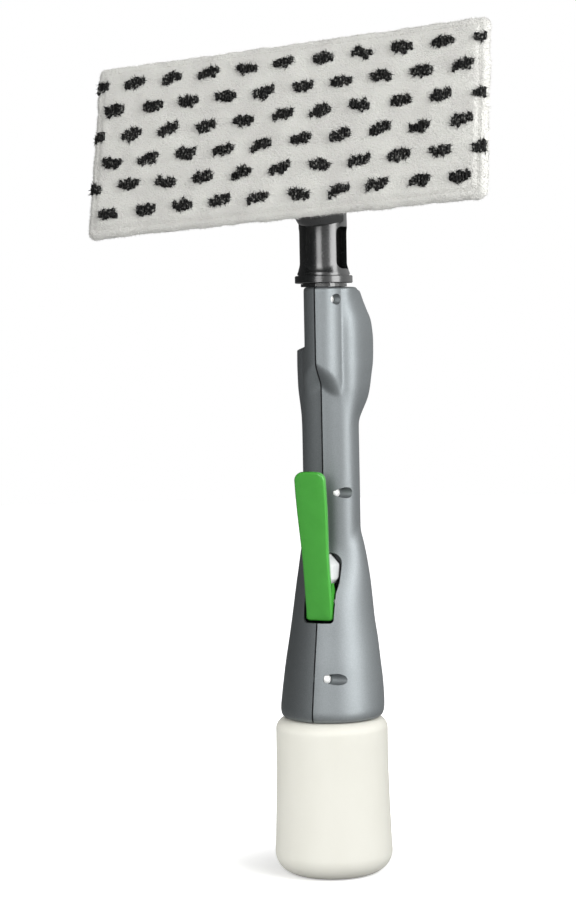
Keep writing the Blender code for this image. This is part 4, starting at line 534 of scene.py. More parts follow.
POD_BACKS = """0 .4 .65 .45 .691 .56 .7135 .675 .738 .8 .7625 .8625 .785 .9 .83 .985 .872 1
 .902 .985 .925 .95 .947 .875 .97 .8 .989 .74 1 .68"""
RIM_ROUNDING = "0 .925 .004 .962 .012 .988 .026 1 1 1"
print("housing", round(HOUSING_HEIGHT * 1000, 1), "mm tall")


# %% The rule that shapes the housing
def table(text, place):
    """Reads a table of pairs at a place, with a smooth curve through its points."""
    values = np.array([float(word) for word in text.split()]).reshape(-1, 2)
    xs, ys = values.T
    slopes = np.diff(ys) / np.diff(xs)
    tangents = np.concatenate(([slopes[0]], (slopes[:-1] + slopes[1:]) / 2, [slopes[-1]]))
    tangents[np.concatenate(([False], slopes[:-1] * slopes[1:] <= 0, [False]))] = 0
    i = int(np.clip(np.searchsorted(xs, place) - 1, 0, len(xs) - 2))
    span = xs[i + 1] - xs[i]
    t = (place - xs[i]) / span
    first = (2 * t**3 - 3 * t**2 + 1) * ys[i] + (t**3 - 2 * t**2 + t) * span * tangents[i]
    return first + (-2 * t**3 + 3 * t**2) * ys[i + 1] + (t**3 - t**2) * span * tangents[i + 1]


def ramp(value, low, high):
    """Climbs smoothly from 0 to 1 between two values."""
    t = np.clip((value - low) / (high - low), 0, 1)
    return t * t * (3 - 2 * t)


def squared(half_width, centre, front, back, powers):
    """A test for points inside two half superellipses that share their widest place."""

    def inside(x, y):
        fore = y < centre
        depth = np.where(fore, centre + front, back - centre)
        power = np.where(fore, *powers)
        return (np.abs(x) / half_width) ** power + (np.abs(y - centre) / depth) ** power < 1

    return inside


def ray_reach(dx, dy, inside):
    """How far a form reaches along each ray, found by halving."""
    low, high = np.zeros_like(dx), np.full_like(dx, POD_BACK * 2)
    for _ in range(HALVINGS):
        middle = (low + high) / 2
        within = inside(dx * middle, RAY_START + dy * middle)
        low, high = np.where(within, middle, low), np.where(within, high, middle)
    return low


def housing_forms(dx, share):
    """The grip, the base, the column and the pod at one height. The column's fold slants from ray to ray."""
    width = RIM_RADIUS * table(BASE_WIDTH, share)
    centre = RAY_START * table(BASE_CENTRE, share)
    base = squared(width, centre, RIM_RADIUS * table(BASE_FRONT, share), centre + width, BASE_POWERS)
    grip = squared(GRIP_WIDTH / 2, RAY_START, GRIP_FRONT, GRIP_BACK, GRIP_POWERS)
    front = GRIP_FRONT + (COLUMN_FRONT - GRIP_FRONT) * ramp(share + FOLD_SLANT * dx, *FOLD_SHARES)
    column = squared(COLUMN_WIDTH / 2, 0.0, front, COLUMN_FRONT, COLUMN_POWERS)
    half_width = POD_WIDTH / 2 * table(POD_WIDTHS, share)
    centre, back = POD_BACK * table(POD_CENTRE, share), POD_BACK * table(POD_BACKS, share)
    return grip, base, column, squared(half_width, centre, POD_FRONT, back, POD_POWERS)


def housing_reach(angles, share, hand):
    """The reach of the union of the four forms along rays at one height, on the right or left."""
    dx, dy = np.sin(angles), -np.cos(angles)
    grip, base, column, pod = [ray_reach(dx, dy, form) for form in housing_forms(dx, share)]
    if hand < 0:
        above_ledge = ramp(share, *LEDGE_SHARES)
        pod = pod - SCOOP_DEPTH * above_ledge * ramp(dx, *SCOOP_SPAN)
        side = SIDE_SCOOP * above_ledge * ramp(dx, *SIDE_SCOOP_SPAN)
        grip, column = grip - side, column - side
    reaches = np.array((grip, base, column, pod))
    longest = np.max(reaches, axis=0)
    joined = longest * np.sum((reaches / longest) ** JOINING_POWER, axis=0) ** (1 / JOINING_POWER)
    keel = KEEL * (1 - np.exp(-angles / KEEL_START_ANGLE)) * np.exp(-angles / KEEL_FADE_ANGLE)
    return (joined - keel) * table(RIM_ROUNDING, share)


print("reach at the grip:", np.round(housing_reach(np.array([0.5, 1.5, 2.5]), 0.6, 1) * 1000, 1), "mm")


# %% The two halves of the shell
SEAM_ANGLE = 0.02
ROW_SPANS = ((0, 0.03, 9), (0.037, 0.74, 78), (0.745, 0.99, 92))
EDGE_ANGLES = (20, 40, 60, 75, 90)
# The inner rows that would pass the lid are bunched under it, by these steps for each share and each turn.
BUNCH_BELOW, BUNCH_AT_RIM = 0.0064, 0.00006


def half_row(share, height, hand, inset, drop, columns=72):
    """One row of points round half the housing, from seam to seam, with a groove along each seam."""
    ends = housing_reach(np.array([SEAM_ANGLE, math.pi - SEAM_ANGLE]), share, hand) - inset
    second = HALF_GROOVE if drop else (HALF_SEAM + HALF_GROOVE) / 2
    steps = ((HALF_SEAM, drop), (second, drop), (HALF_GROOVE, 0))
    near = [math.asin(x / (ends[0] - low)) for x, low in steps]
    far = [math.pi - math.asin(x / (ends[1] - low)) for x, low in steps]
    angles = np.concatenate((near, np.linspace(near[2], far[2], columns)[1:-1], far[::-1]))
    reach = housing_reach(angles, share, hand) - inset
    reach[[0, 1, -2, -1]] -= drop
    x = hand * np.sin(angles) * reach
    return np.stack((x, RAY_START - np.cos(angles) * reach, np.full_like(x, height)), axis=1)


def lid_row(height, hand, columns=76):
    """The row of points at the rim of the hole for the neck's plug."""
    limit = math.acos(HALF_SEAM / PLUG_HOLE_RADIUS)
    angles = np.linspace(-limit, limit, columns)
    x, y = PLUG_HOLE_RADIUS * np.cos(angles) * hand, PLUG_HOLE_RADIUS * np.sin(angles)
    return np.stack((x, y, np.full_like(x, height)), axis=1)


def housing_half(name, hand):
    """Half the housing as a closed shell: outer rows up, lid, then inner rows down."""
    outer, inner = [], []
    for share in np.concatenate([np.linspace(*span) for span in ROW_SPANS]):
        height = HOUSING_BOTTOM + HOUSING_HEIGHT * share
        outer.append(half_row(share, height, hand, 0, GROOVE_DEPTH))
        inner_height = min(height, HOUSING_TOP - LID_THICKNESS - BUNCH_BELOW * (1 - share))
        inner.append(half_row(share, inner_height, hand, HOUSING_WALL, 0))
    for turn in np.radians(EDGE_ANGLES):
        height = HOUSING_TOP - TOP_EDGE * (1 - math.sin(turn))
        inset = TOP_EDGE * (1 - math.cos(turn))
        outer.append(half_row(1.0, height, hand, inset, GROOVE_DEPTH))
        low = HOUSING_TOP - LID_THICKNESS - BUNCH_AT_RIM * (math.pi / 2 - turn)
        inner.append(half_row(1.0, low, hand, HOUSING_WALL + inset, 0))
    outer.append(lid_row(HOUSING_TOP, hand))
    inner.append(lid_row(HOUSING_TOP - LID_THICKNESS, hand))
    form = bmesh.new()
    out = [[form.verts.new(point) for point in row] for row in outer]
    back = [[form.verts.new(point) for point in row] for row in inner]
    loop = out + back[::-1]
    # The inside and the faces of each seam groove get the dark second finish, which is partly painted shade in
    # the groove.
    for number, (low, high) in enumerate(zip(loop, loop[1:] + loop[:1])):
        for i in range(len(low) - 1):
            face = form.faces.new((low[i], low[i + 1], high[i + 1], high[i]))
            face.material_index = int(number >= len(out) or i < 2 or i > len(low) - 4)
    # The faces across the seam gap get the dark finish too, as painted shade in the gap.
    for k in range(len(out) - 1):
        for i in (0, -1):
            face = form.faces.new((out[k][i], out[k + 1][i], back[k + 1][i], back[k][i]))
            face.material_index = 1
    half = piece_of(name, form, grey_abs)
    half.data.materials.append(inner_abs_with_painted_shade)
    return half


shells = {hand: housing_half("shell_%s" % word, hand) for hand, word in ((1, "right"), (-1, "left"))}
print("shell halves:", [len(shell.data.polygons) for shell in shells.values()], "faces")

# %% [markdown]
# The openings come next: the slot that the trigger works in, with a shoulder at each side, a hole for the
# nozzle, and the deep round recesses of the three screws in the right half, each with a boss behind it for
# the screw to seat in. A post in each half carries the trigger's pin.

# %% Openings in the shell
SLOT_LOW, SLOT_SHOULDER, SLOT_HIGH = 0.1552, 0.1745, 0.1972
SLOT_LOW_WIDTH, SLOT_HIGH_WIDTH = 0.0200, 0.0228
SLOT_LOW_CORNER, SLOT_HIGH_CORNER = 0.0025, 0.0065
SHOULDER_FLARE, SHOULDER_FOOT, SHOULDER_TOP = 0.0002, 0.0012, 0.0046
SLOT_FRONT, SLOT_BACK = 0.0400, 0.0050
RECESS_RADIUS, BOSS_RADIUS, SEAT_DEPTH = 0.0034, 0.0038, 0.0060
SCREWS = {
    "screw_top": (-0.0078, 0.3534),
    "screw_middle": (-0.0031, 0.2341),
    "screw_bottom": (-0.0232, 0.1220),
}
NOZZLE_POINT = Vector((0, 0.0378, 0.3415))
NOZZLE_TILT = math.radians(20)
NOZZLE_HOLE_RADIUS, NOZZLE_HOLE_IN, NOZZLE_HOLE_OUT = 0.0053, 0.008, 0.006
BOSS_START, POST_RADIUS, POST_START = 0.0004, 0.0026, 0.0099
PIVOT = Vector((0, -0.012, 0.168))
OUTSIDE = 0.05
UNDER_SKIN, SHORTEST_POST = 0.0012, 0.0002


def skin_x(y, height, hand):
    """How far out the housing's surface lies, straight sideways from a point on its middle plane."""
    angles = np.linspace(0.05, math.pi - 0.05, 400)
    reach = housing_reach(angles, (height - HOUSING_BOTTOM) / HOUSING_HEIGHT, hand)
    return float(np.interp(y, RAY_START - np.cos(angles) * reach, np.sin(angles) * reach))


def stub(radius, start, end, y, height, steps=48):
    """A round bar along X."""
    return bar(radius, start, end, steps, Matrix.Translation((0, y, height)) @ TO_X)


def post(radius, start, y, height, hand):
    """A round post along X that ends inside the wall, whatever way the wall curves there."""
    form = stub(radius, hand * start, hand * OUTSIDE, y, height, 32)
    for vert in form.verts:
        if abs(vert.co.x) > OUTSIDE / 2:
            depth = skin_x(vert.co.y, vert.co.z, hand) - UNDER_SKIN
            vert.co.x = hand * max(depth, start + SHORTEST_POST)
    return form


low, high = SLOT_LOW_WIDTH / 2, SLOT_HIGH_WIDTH / 2
slot = arc((low - SLOT_LOW_CORNER, SLOT_LOW + SLOT_LOW_CORNER), SLOT_LOW_CORNER, -90, 0, 8)
slot += [(low + SHOULDER_FLARE, SLOT_SHOULDER - SHOULDER_FOOT), (high, SLOT_SHOULDER + SHOULDER_TOP)]
slot += arc((high - SLOT_HIGH_CORNER, SLOT_HIGH - SLOT_HIGH_CORNER), SLOT_HIGH_CORNER, 0, 90, 14)
slot += [(-x, z) for x, z in reversed(slot)]
slot_place = Matrix.Translation((0, -(SLOT_FRONT + SLOT_BACK) / 2, 0)) @ UPRIGHT
nozzle_place = Matrix.Translation(NOZZLE_POINT) @ Matrix.Rotation(NOZZLE_TILT, 4, "X") @ TO_Y
for hand, shell in shells.items():
    # The slot's cut walls get the dark second finish, which is partly painted shade in the slot.
    carve(shell, prism(slot, (SLOT_FRONT - SLOT_BACK) / 2, slot_place), finish_number=1)
    for y, height in SCREWS.values():
        carve(shell, post(BOSS_RADIUS, BOSS_START, y, height, hand), "UNION")
        if hand > 0:
            carve(shell, stub(RECESS_RADIUS, SEAT_DEPTH, OUTSIDE, y, height))
    carve(shell, post(POST_RADIUS, POST_START, PIVOT.y, PIVOT.z, hand), "UNION", 1)
    carve(shell, bar(NOZZLE_HOLE_RADIUS, -NOZZLE_HOLE_IN, NOZZLE_HOLE_OUT, 48, nozzle_place))
    settle(shell, 30)
    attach(shell, "handle")
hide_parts("handle_shell_right")
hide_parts("handle_shell_left")

# %% [markdown]
# ## The screws
#
# All three screws are the same dome-head screw with a cross recess, so it is modelled once and Geometry
# Nodes puts it at the three places. The tree takes points and a screw, and gives back one mesh. Every tree
# below starts and ends with the same two functions.


# %% Helpers for trees, and one that sets copies on points
def new_tree(name, inputs):
    """A Geometry Nodes tree with named inputs, and the sockets that bring them in."""
    tree = bpy.data.node_groups.new(name, "GeometryNodeTree")
    tree.interface.new_socket("Geometry", in_out="INPUT", socket_type="NodeSocketGeometry")
    for label, kind, value in (*inputs, ("Material", "Material", None)):
        socket = tree.interface.new_socket(label, in_out="INPUT", socket_type="NodeSocket" + kind)
        if value is not None:
            socket.default_value = value
    tree.interface.new_socket("Geometry", in_out="OUTPUT", socket_type="NodeSocketGeometry")
    return tree, node(tree, "NodeGroupInput").outputs


def end_tree(tree, given, geometry):
    """Ends a tree: its copies become plain mesh and get the material that the tree is given."""
    real = node(tree, "GeometryNodeRealizeInstances", {"Geometry": geometry}).outputs["Geometry"]
    coated = node(tree, "GeometryNodeSetMaterial", {"Geometry": real, "Material": given["Material"]})
    node(tree, "NodeGroupOutput", {"Geometry": coated.outputs["Geometry"]})
    print("tree", tree.name, "with", len(tree.nodes), "nodes")


def copies_of(tree, thing, points, **turned):
    """Copies of an object on points, which may be turned and scaled."""
    item = node(tree, "GeometryNodeObjectInfo", {"Object": thing, "As Instance": True})
    spots = {"Points": points, "Instance": item.outputs["Geometry"], **turned}
    return node(tree, "GeometryNodeInstanceOnPoints", spots).outputs["Instances"]


def grown(name, mesh, tree, values, material):
    """Runs a tree on a mesh and keeps the plain result as an object at the origin."""
    source = in_scene(name, mesh)
    work = source.modifiers.new("grow", "NODES")
    work.node_group = tree
    sockets = {item.name: item.identifier for item in tree.interface.items_tree if item.in_out == "INPUT"}
    for label, value in {**values, "Material": material}.items():
        work[sockets[label]] = value
    keep_result(source)
    print(name, len(source.data.polygons), "faces")
    return source


POINT_RADIUS = 0.001
copying, given = new_tree("copies_on_points", [("Copy", "Object", None)])
points = node(copying, "GeometryNodeMeshToPoints", {"Mesh": given["Geometry"], "Radius": POINT_RADIUS})
end_tree(copying, given, copies_of(copying, given["Copy"], points.outputs["Points"]))

# %% Screws
HEAD_RADIUS, HEAD_HEIGHT, SHANK_RADIUS, SHANK_LENGTH = 0.0031, 0.0030, 0.0014, 0.0150
TIP_RADIUS, TIP_LENGTH, SEAT_GAP = 0.0006, 0.0014, 0.0003
CROSS_HALF_LENGTH, CROSS_HALF_WIDTH, CROSS_DEPTH, CROSS_TURN = 0.0016, 0.0003, 0.0009, 20
seat = SEAT_DEPTH + SEAT_GAP
outline = [(0, -SHANK_LENGTH), (TIP_RADIUS, -SHANK_LENGTH), (SHANK_RADIUS, -SHANK_LENGTH + TIP_LENGTH)]
outline += [(SHANK_RADIUS, 0), (HEAD_RADIUS, 0)]
outline += [(HEAD_RADIUS * math.cos(t), HEAD_HEIGHT * math.sin(t)) for t in np.radians(range(8, 82, 8))]
outline += [(0, HEAD_HEIGHT)]
screw = piece_of("screw_pattern", lathe(outline, 40, Matrix.Translation((seat, 0, 0)) @ TO_X), zinc)
cut = [(CROSS_HALF_LENGTH * sx, CROSS_HALF_WIDTH * sy) for sx, sy in ((-1, -1), (1, -1), (1, 1), (-1, 1))]
for turn in (CROSS_TURN, CROSS_TURN + 90):
    cut_place = Matrix.Translation((seat + HEAD_HEIGHT, 0, 0)) @ Matrix.Rotation(math.radians(turn), 4, "X")
    carve(screw, prism(cut, CROSS_DEPTH, cut_place @ TO_X))
settle(screw)
spots = bpy.data.meshes.new("screw_spots")
spots.from_pydata([(0, y, height) for y, height in SCREWS.values()], [], [])
screws = grown("screws", spots, copying, {"Copy": screw}, zinc)
bpy.data.objects.remove(screw)
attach(screws, "handle")
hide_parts(*SCREWS)

# %% [markdown]
# ## The trigger
#
# The trigger is a tapered plate with a softly crowned front and an ear at each side of its foot, where it
# turns on a steel pin. Its plate is built of outlines: each one is drawn a little further in and a little
# further forward than the last, which rounds every edge by the same amount.

# %% Trigger plate
TRIGGER_TOP_WIDTH, TRIGGER_BOTTOM_WIDTH = 0.0200, 0.0178
TRIGGER_LENGTH, TRIGGER_THICKNESS = 0.0920, 0.0034
TRIGGER_WIDTHS = "0 .86 .2 .85 .35 .85 .45 .865 .55 .9 .65 .945 .78 .99 1 1"
TRIGGER_FRONT_TOP, TRIGGER_FRONT_BOTTOM, TRIGGER_FOOT = 0.0304, 0.0170, 0.1565
TRIGGER_LEAN = math.atan2(TRIGGER_FRONT_TOP - TRIGGER_FRONT_BOTTOM, TRIGGER_LENGTH)
LOW_CORNER, TOP_CORNER, LEAST_CORNER = 0.0022, 0.0045, 0.0002
FRONT_EDGE = 0.0012
TOP_CROWN, TOP_CROWN_SPAN = 0.0010, (0.9, 1)


def trigger_outline(inset):
    """The trigger's outline drawn in by a distance. It widens towards the top, which is crowned."""
    half_width = TRIGGER_TOP_WIDTH / 2
    low_round, top_round = (max(corner, inset + LEAST_CORNER) for corner in (LOW_CORNER, TOP_CORNER))
    low = half_width * table(TRIGGER_WIDTHS, 0)
    right = arc((low - low_round, low_round), low_round - inset, -90, 0, 12)
    for up in np.linspace(0.06, 0.92, 15):
        right.append((half_width * table(TRIGGER_WIDTHS, up) - inset, TRIGGER_LENGTH * up))
    right += arc((half_width - top_round, TRIGGER_LENGTH - top_round), top_round - inset, 0, 90, 12)
    right.append((half_width / 4, TRIGGER_LENGTH - inset))
    outline = []
    for x, up in right + [(-x, up) for x, up in reversed(right)]:
        crown = TOP_CROWN * max(0, 1 - (x / half_width) ** 2) * ramp(up / TRIGGER_LENGTH, *TOP_CROWN_SPAN)
        outline.append((x, up + crown))
    return outline


# How far each outline is drawn in and how high it lies: the back edge, the front edge, the crowned front.
half = TRIGGER_THICKNESS / 2
levels = [(0.0005, -half), (0.0001, -half + 0.0002), (0, -half + 0.0005), (0, half - FRONT_EDGE)]
for t in np.radians(range(15, 91, 15)):
    levels.append((FRONT_EDGE * (1 - math.cos(t)), half - FRONT_EDGE * (1 - math.sin(t))))
levels += [(0.0026, half + 0.00014), (0.0040, half + 0.00022), (0.0054, half + 0.00026)]
foot = Vector((0, TRIGGER_THICKNESS / 2 - TRIGGER_FRONT_BOTTOM, TRIGGER_FOOT))
place = Matrix.Translation(foot) @ Matrix.Rotation(math.radians(90) + TRIGGER_LEAN, 4, "X")
rings = [[place @ Vector((x, up, lift)) for x, up in trigger_outline(inset)] for inset, lift in levels]
trigger = piece_of("trigger_with_ears", skin(rings), green_abs)
print("trigger plate leans", round(math.degrees(TRIGGER_LEAN), 1), "degrees")

# %% Trigger ears
EAR_DROP, EAR_RISE, EAR_THICKNESS, EYE_RADIUS, PIN_RADIUS = 0.0105, 0.0115, 0.0020, 0.0038, 0.0015
EAR_ROOT, EAR_FOOT_DEPTH, EAR_TOP_DEPTH = 0.0008, 0.0030, 0.0011
EAR_INSET, PIN_GAP = 0.00005, 0.0002
back = foot.y - PIVOT.y
ear = [(back - EAR_ROOT, -EAR_DROP), (back + EAR_FOOT_DEPTH, -EAR_DROP)]
ear += arc((0, 0), EYE_RADIUS, -60, 75, 14)
ear += [(back + EAR_TOP_DEPTH, EAR_RISE), (back - EAR_ROOT, EAR_RISE)]
ear_x = (TRIGGER_BOTTOM_WIDTH - EAR_THICKNESS) / 2 - EAR_INSET
for hand in (-1, 1):
    ear_place = Matrix.Translation(PIVOT + Vector((hand * ear_x, 0, 0))) @ SIDEWAYS
    carve(trigger, prism(ear, EAR_THICKNESS / 2, ear_place), "UNION")
carve(trigger, stub(PIN_RADIUS + PIN_GAP, -0.02, 0.02, PIVOT.y, PIVOT.z, 32))
settle(trigger, 40)
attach(trigger, "trigger")
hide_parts("trigger_lever")

# %% [markdown]
# ## The pump's spring
#
# The return spring is one steel wire wound into a coil. A solid that rides on the handle can't shorten when
# the trigger is squeezed. The coil is grown again along a spiral, and it rides on the handle too.

# %% Pump spring
COIL_RADIUS, WIRE_RADIUS, TURNS, STROKE = 0.0042, 0.0004, 4, 0.0039
front, back = (corner[1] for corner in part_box("pump_spring"))
axis_height = sum(corner[2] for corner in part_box("pump_spring")) / 2
coiling, given = new_tree(
    "wound_spring",
    [
        ("Coil Radius", "Float", COIL_RADIUS),
        ("Wire Radius", "Float", WIRE_RADIUS),
        ("Turns", "Float", TURNS),
        ("Length", "Float", back - front - 2 * WIRE_RADIUS),
    ],
)
ends = {"Start Radius": given["Coil Radius"], "End Radius": given["Coil Radius"], "Height": given["Length"]}
spiral = node(coiling, "GeometryNodeCurveSpiral", {"Resolution": 20, "Rotations": given["Turns"], **ends})
wire = {"Resolution": 10, "Radius": given["Wire Radius"]}
section = node(coiling, "GeometryNodeCurvePrimitiveCircle", wire).outputs["Curve"]
sweep = {"Curve": spiral.outputs["Curve"], "Profile Curve": section, "Fill Caps": True}
end_tree(coiling, given, node(coiling, "GeometryNodeCurveToMesh", sweep).outputs["Mesh"])
spring = grown("wound_pump_spring", bpy.data.meshes.new("spring_start"), coiling, {}, zinc)
spring.data.transform(Matrix.Translation((0, front + WIRE_RADIUS, axis_height)) @ TO_Y)
settle(spring)
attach(spring, "handle")
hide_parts("pump_spring")
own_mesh(spring)

# %% [markdown]
# ## The plunger's cap
#
# The white cap that the trigger pushes on is a cup with eight flattened sides. The flats give it grip when
# it is pressed onto the piston, and show as straight edges beside the trigger.

# %% Plunger cap
CAP_ACROSS, CAP_FRONT, CAP_BACK, CAP_WALL, CAP_CENTRE = 0.0192, -0.0180, -0.0065, 0.0014, 0.1862
CAP_TALLER = 1.08
CAP_CORNER = 0.0022
FACE_INSET = 0.0100


def octagon(across, round_off, steps=5):
    """An octagon, flats up and sideways, with rounded corners."""
    half_turn = 22.5
    centre = (across / 2 - round_off) / math.cos(math.radians(half_turn))
    points = []
    for turn in np.arange(8) * 45 + half_turn:
        middle = (centre * math.cos(math.radians(turn)), centre * math.sin(math.radians(turn)))
        points += arc(middle, round_off, turn - half_turn, turn + half_turn, steps)
    return points


# Size and depth of each ring: the cup's inside from its front to its rim, then its outside back to the front.
bore = CAP_ACROSS - 2 * CAP_WALL
levels = [(CAP_ACROSS - FACE_INSET, CAP_FRONT + 0.0026), (bore, CAP_FRONT + 0.0032), (bore, CAP_BACK)]
levels += [(CAP_ACROSS, CAP_BACK), (CAP_ACROSS, CAP_FRONT + 0.0030)]
levels += [(CAP_ACROSS - 0.0006, CAP_FRONT + 0.0016), (CAP_ACROSS - 0.0022, CAP_FRONT + 0.0006)]
levels += [(CAP_ACROSS - 0.0050, CAP_FRONT + 0.0001), (CAP_ACROSS - FACE_INSET, CAP_FRONT)]
rings = []
for across, depth in levels:
    outline = octagon(across, CAP_CORNER * across / CAP_ACROSS)
    rings.append([(x, depth, CAP_CENTRE + CAP_TALLER * z) for x, z in outline])
cap = piece_of("plunger_cap", skin(rings), white_acetal)
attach(cap, "piston")
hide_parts("piston_cap")
print("cap", CAP_ACROSS * 1000, "mm across")

# %% [markdown]
# ## The bottle
#
# A blow-moulded bottle is a lathe shape with generous corners, because the plastic has to stretch into
# them. It stands on a ring, with its floor pushed up inside so that it does not rock.

# %% Bottle
BOTTLE_RADIUS, SHOULDER_RADIUS, WALL = 0.0363, 0.0346, 0.0014
BASE_FILLET, SHOULDER_FILLET, SHOULDER_HEIGHT = 0.0130, 0.0070, 0.0952
NECK_RADIUS, NECK_FOOT, BOTTLE_TOP = 0.0170, 0.0980, 0.1140
base_centre = (BOTTLE_RADIUS - BASE_FILLET, BASE_FILLET)
shoulder_centre = (SHOULDER_RADIUS - SHOULDER_FILLET, SHOULDER_HEIGHT - SHOULDER_FILLET)
outside = [(0, 0.0012), (0.012, 0.0011), (0.018, 0.0006)]
outside += arc(base_centre, BASE_FILLET, -90, 0, 20)
heights = np.linspace(BASE_FILLET, shoulder_centre[1], 26)[1:-1]
share = (heights - BASE_FILLET) / (shoulder_centre[1] - BASE_FILLET)
bulge = BOTTLE_RADIUS + (SHOULDER_RADIUS - BOTTLE_RADIUS) * np.minimum(share * 1.5, 1) ** 0.8
outside += list(zip(bulge, heights))
outside += arc(shoulder_centre, SHOULDER_FILLET, 0, 90, 12)
outside += [(NECK_RADIUS + 0.001, NECK_FOOT - 0.001), (NECK_RADIUS, NECK_FOOT), (NECK_RADIUS, BOTTLE_TOP)]
inside = [(NECK_RADIUS - WALL, BOTTLE_TOP), (NECK_RADIUS - WALL, NECK_FOOT - WALL)]
inside += arc(shoulder_centre, SHOULDER_FILLET - WALL, 90, 0, 8)
inside += [(radius - WALL, height) for radius, height in reversed(list(zip(bulge, heights))[::3])]
inside += arc(base_centre, BASE_FILLET - WALL, 0, -90, 12)
inside += [(0.012, WALL + 0.0010), (0, WALL + 0.0012)]
bottle = piece_of("water_bottle", lathe(outside + inside, 128), milky_hdpe, 40)
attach(bottle, "bottle")
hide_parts("bottle")
lit_only = bpy.data.collections.new("lit_by_bottle_fill")
lit_only.objects.link(bottle)
bottle_fill.light_linking.receiver_collection = lit_only
print("bottle", len(bottle.data.polygons), "faces")

# %% [markdown]
# ## The neck
#
# The black neck is a sleeve that plugs onto the handle, with a window in each side for the latch, and an
# arm that leaves it forwards and ends in a fork. The sleeve and arm are rings of points along one bent
# line. The fork, the windows and the bore are then added or cut.

# %% Neck sleeve and arm
SLEEVE_BOTTOM, SLEEVE_RADIUS, BORE_RADIUS, BORE_TOP = 0.3636, 0.0150, 0.0126, 0.3985
COLLAR_RADIUS, COLLAR_HEIGHT, GROOVE_RADIUS, FLARE_RADIUS = 0.0179, 0.0046, 0.0158, 0.0163
ARM_START, ARM_REACH, ARM_RISE, ARM_END_RADIUS, ARM_BEND = 0.4005, 0.0330, 0.0240, 0.0092, 1.5
ROLL_HEIGHT = 0.4360
GROOVE_HEIGHT, FLARE_START, FLARE_HEIGHT, SLEEVE_START = 0.0006, 0.0014, 0.0062, 0.0090
ARM_STEPS, ARM_SWELL, ARM_TAPER_START = 32, 0.0012, 0.25


def ring(centre, tilt, radius, count=96):
    """A ring of points about a centre, tilted forwards."""
    spin = Matrix.Rotation(tilt, 3, "X")
    angles = [math.tau * i / count for i in range(count)]
    return [centre + spin @ Vector((radius * math.cos(a), radius * math.sin(a), 0)) for a in angles]


def arm_point(t):
    """A point on the arm's centre line."""
    return Vector((0, -ARM_REACH * t**ARM_BEND, ARM_START + ARM_RISE * (1 - (1 - t) ** ARM_BEND)))


# Radius and height of each ring: the collar, the groove above it, and the flare that runs out in the sleeve.
collar_top = SLEEVE_BOTTOM + COLLAR_HEIGHT
profile = [(COLLAR_RADIUS - 0.0004, SLEEVE_BOTTOM), (COLLAR_RADIUS, SLEEVE_BOTTOM + 0.0004)]
profile += [(COLLAR_RADIUS, collar_top - 0.0005), (COLLAR_RADIUS - 0.0005, collar_top)]
profile += [(GROOVE_RADIUS, collar_top), (GROOVE_RADIUS, collar_top + GROOVE_HEIGHT)]
profile += [(FLARE_RADIUS, collar_top + GROOVE_HEIGHT), (FLARE_RADIUS, collar_top + FLARE_START)]
for t in np.linspace(0.15, 1, 8):
    swell = (FLARE_RADIUS - SLEEVE_RADIUS) * (1 - t) ** 2
    profile.append((SLEEVE_RADIUS + swell, collar_top + FLARE_START + FLARE_HEIGHT * t))
profile += [(SLEEVE_RADIUS, height) for height in np.linspace(collar_top + SLEEVE_START, ARM_START, 8)]
rings = [ring(Vector((0, 0, height)), 0, radius) for radius, height in profile]
for t in np.linspace(0, 1, ARM_STEPS + 1)[1:]:
    ahead = arm_point(t) - arm_point(t - 1 / ARM_STEPS)
    start_radius = SLEEVE_RADIUS + ARM_SWELL * ramp(t, 0, ARM_TAPER_START)
    radius = start_radius + (ARM_END_RADIUS - start_radius) * ramp(t, ARM_TAPER_START, 1)
    rings.append(ring(arm_point(t), math.atan2(-ahead.y, ahead.z), radius))
neck = piece_of("neck_and_arm", skin(rings), black_abs)
print("neck", len(neck.data.polygons), "faces before carving")

# %% Fork, bore and windows
FORK_RADIUS, FORK_FOOT, EYE_THICKNESS, TINE, GAP = 0.0062, 0.0150, 0.0090, 0.0040, 0.0003
EYE_RADIUS, ROLL_PIN_HOLE = 0.0060, 0.00206
WINDOW_HALF, WINDOW_LOW, WINDOW_HIGH, WINDOW_CORNER = 0.0086, 0.3722, 0.3982, 0.0040
at_roll = Matrix.Translation((0, -ARM_REACH, 0)) @ UPRIGHT
fork = [(-FORK_RADIUS, ROLL_HEIGHT - FORK_FOOT), (FORK_RADIUS, ROLL_HEIGHT - FORK_FOOT)]
fork += arc((0, ROLL_HEIGHT), FORK_RADIUS, 0, 180, 24)
carve(neck, prism(fork, EYE_THICKNESS / 2 + GAP + TINE, at_roll), "UNION")
low = ROLL_HEIGHT - EYE_RADIUS - GAP
gap = [(-0.02, low), (0.02, low), (0.02, low + 0.04), (-0.02, low + 0.04)]
carve(neck, prism(gap, EYE_THICKNESS / 2 + GAP, at_roll))
pin_place = Matrix.Translation((0, -ARM_REACH, ROLL_HEIGHT)) @ TO_Y
carve(neck, bar(ROLL_PIN_HOLE, -0.02, 0.02, 32, pin_place))
carve(neck, bar(BORE_RADIUS, 0.33, BORE_TOP, 96))
half_height, middle = (WINDOW_HIGH - WINDOW_LOW) / 2, (WINDOW_HIGH + WINDOW_LOW) / 2
carve(neck, prism(rounded_rectangle(WINDOW_HALF, half_height, WINDOW_CORNER, 8, middle), 0.03, SIDEWAYS))
settle(neck)
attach(neck, "handle")
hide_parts("neck_sleeve")

# %% [markdown]
# ## The pad
#
# The pad is foam in a sewn microfibre cover. Cloth simulation puffs it up: the slab is remeshed into even
# small faces, air pressure swells it for a few frames, and the movement is capped. The seam that runs
# round it about 5 mm from its edge is pressed in afterwards, because remeshing would rub it out. The pad
# is modelled lying square to its own axes, and is turned to its place on the joint at the end. The cover
# is pressed onto its hook strips by hand, so it sits half a degree askew and 2 mm high, and is
# stretched a little.

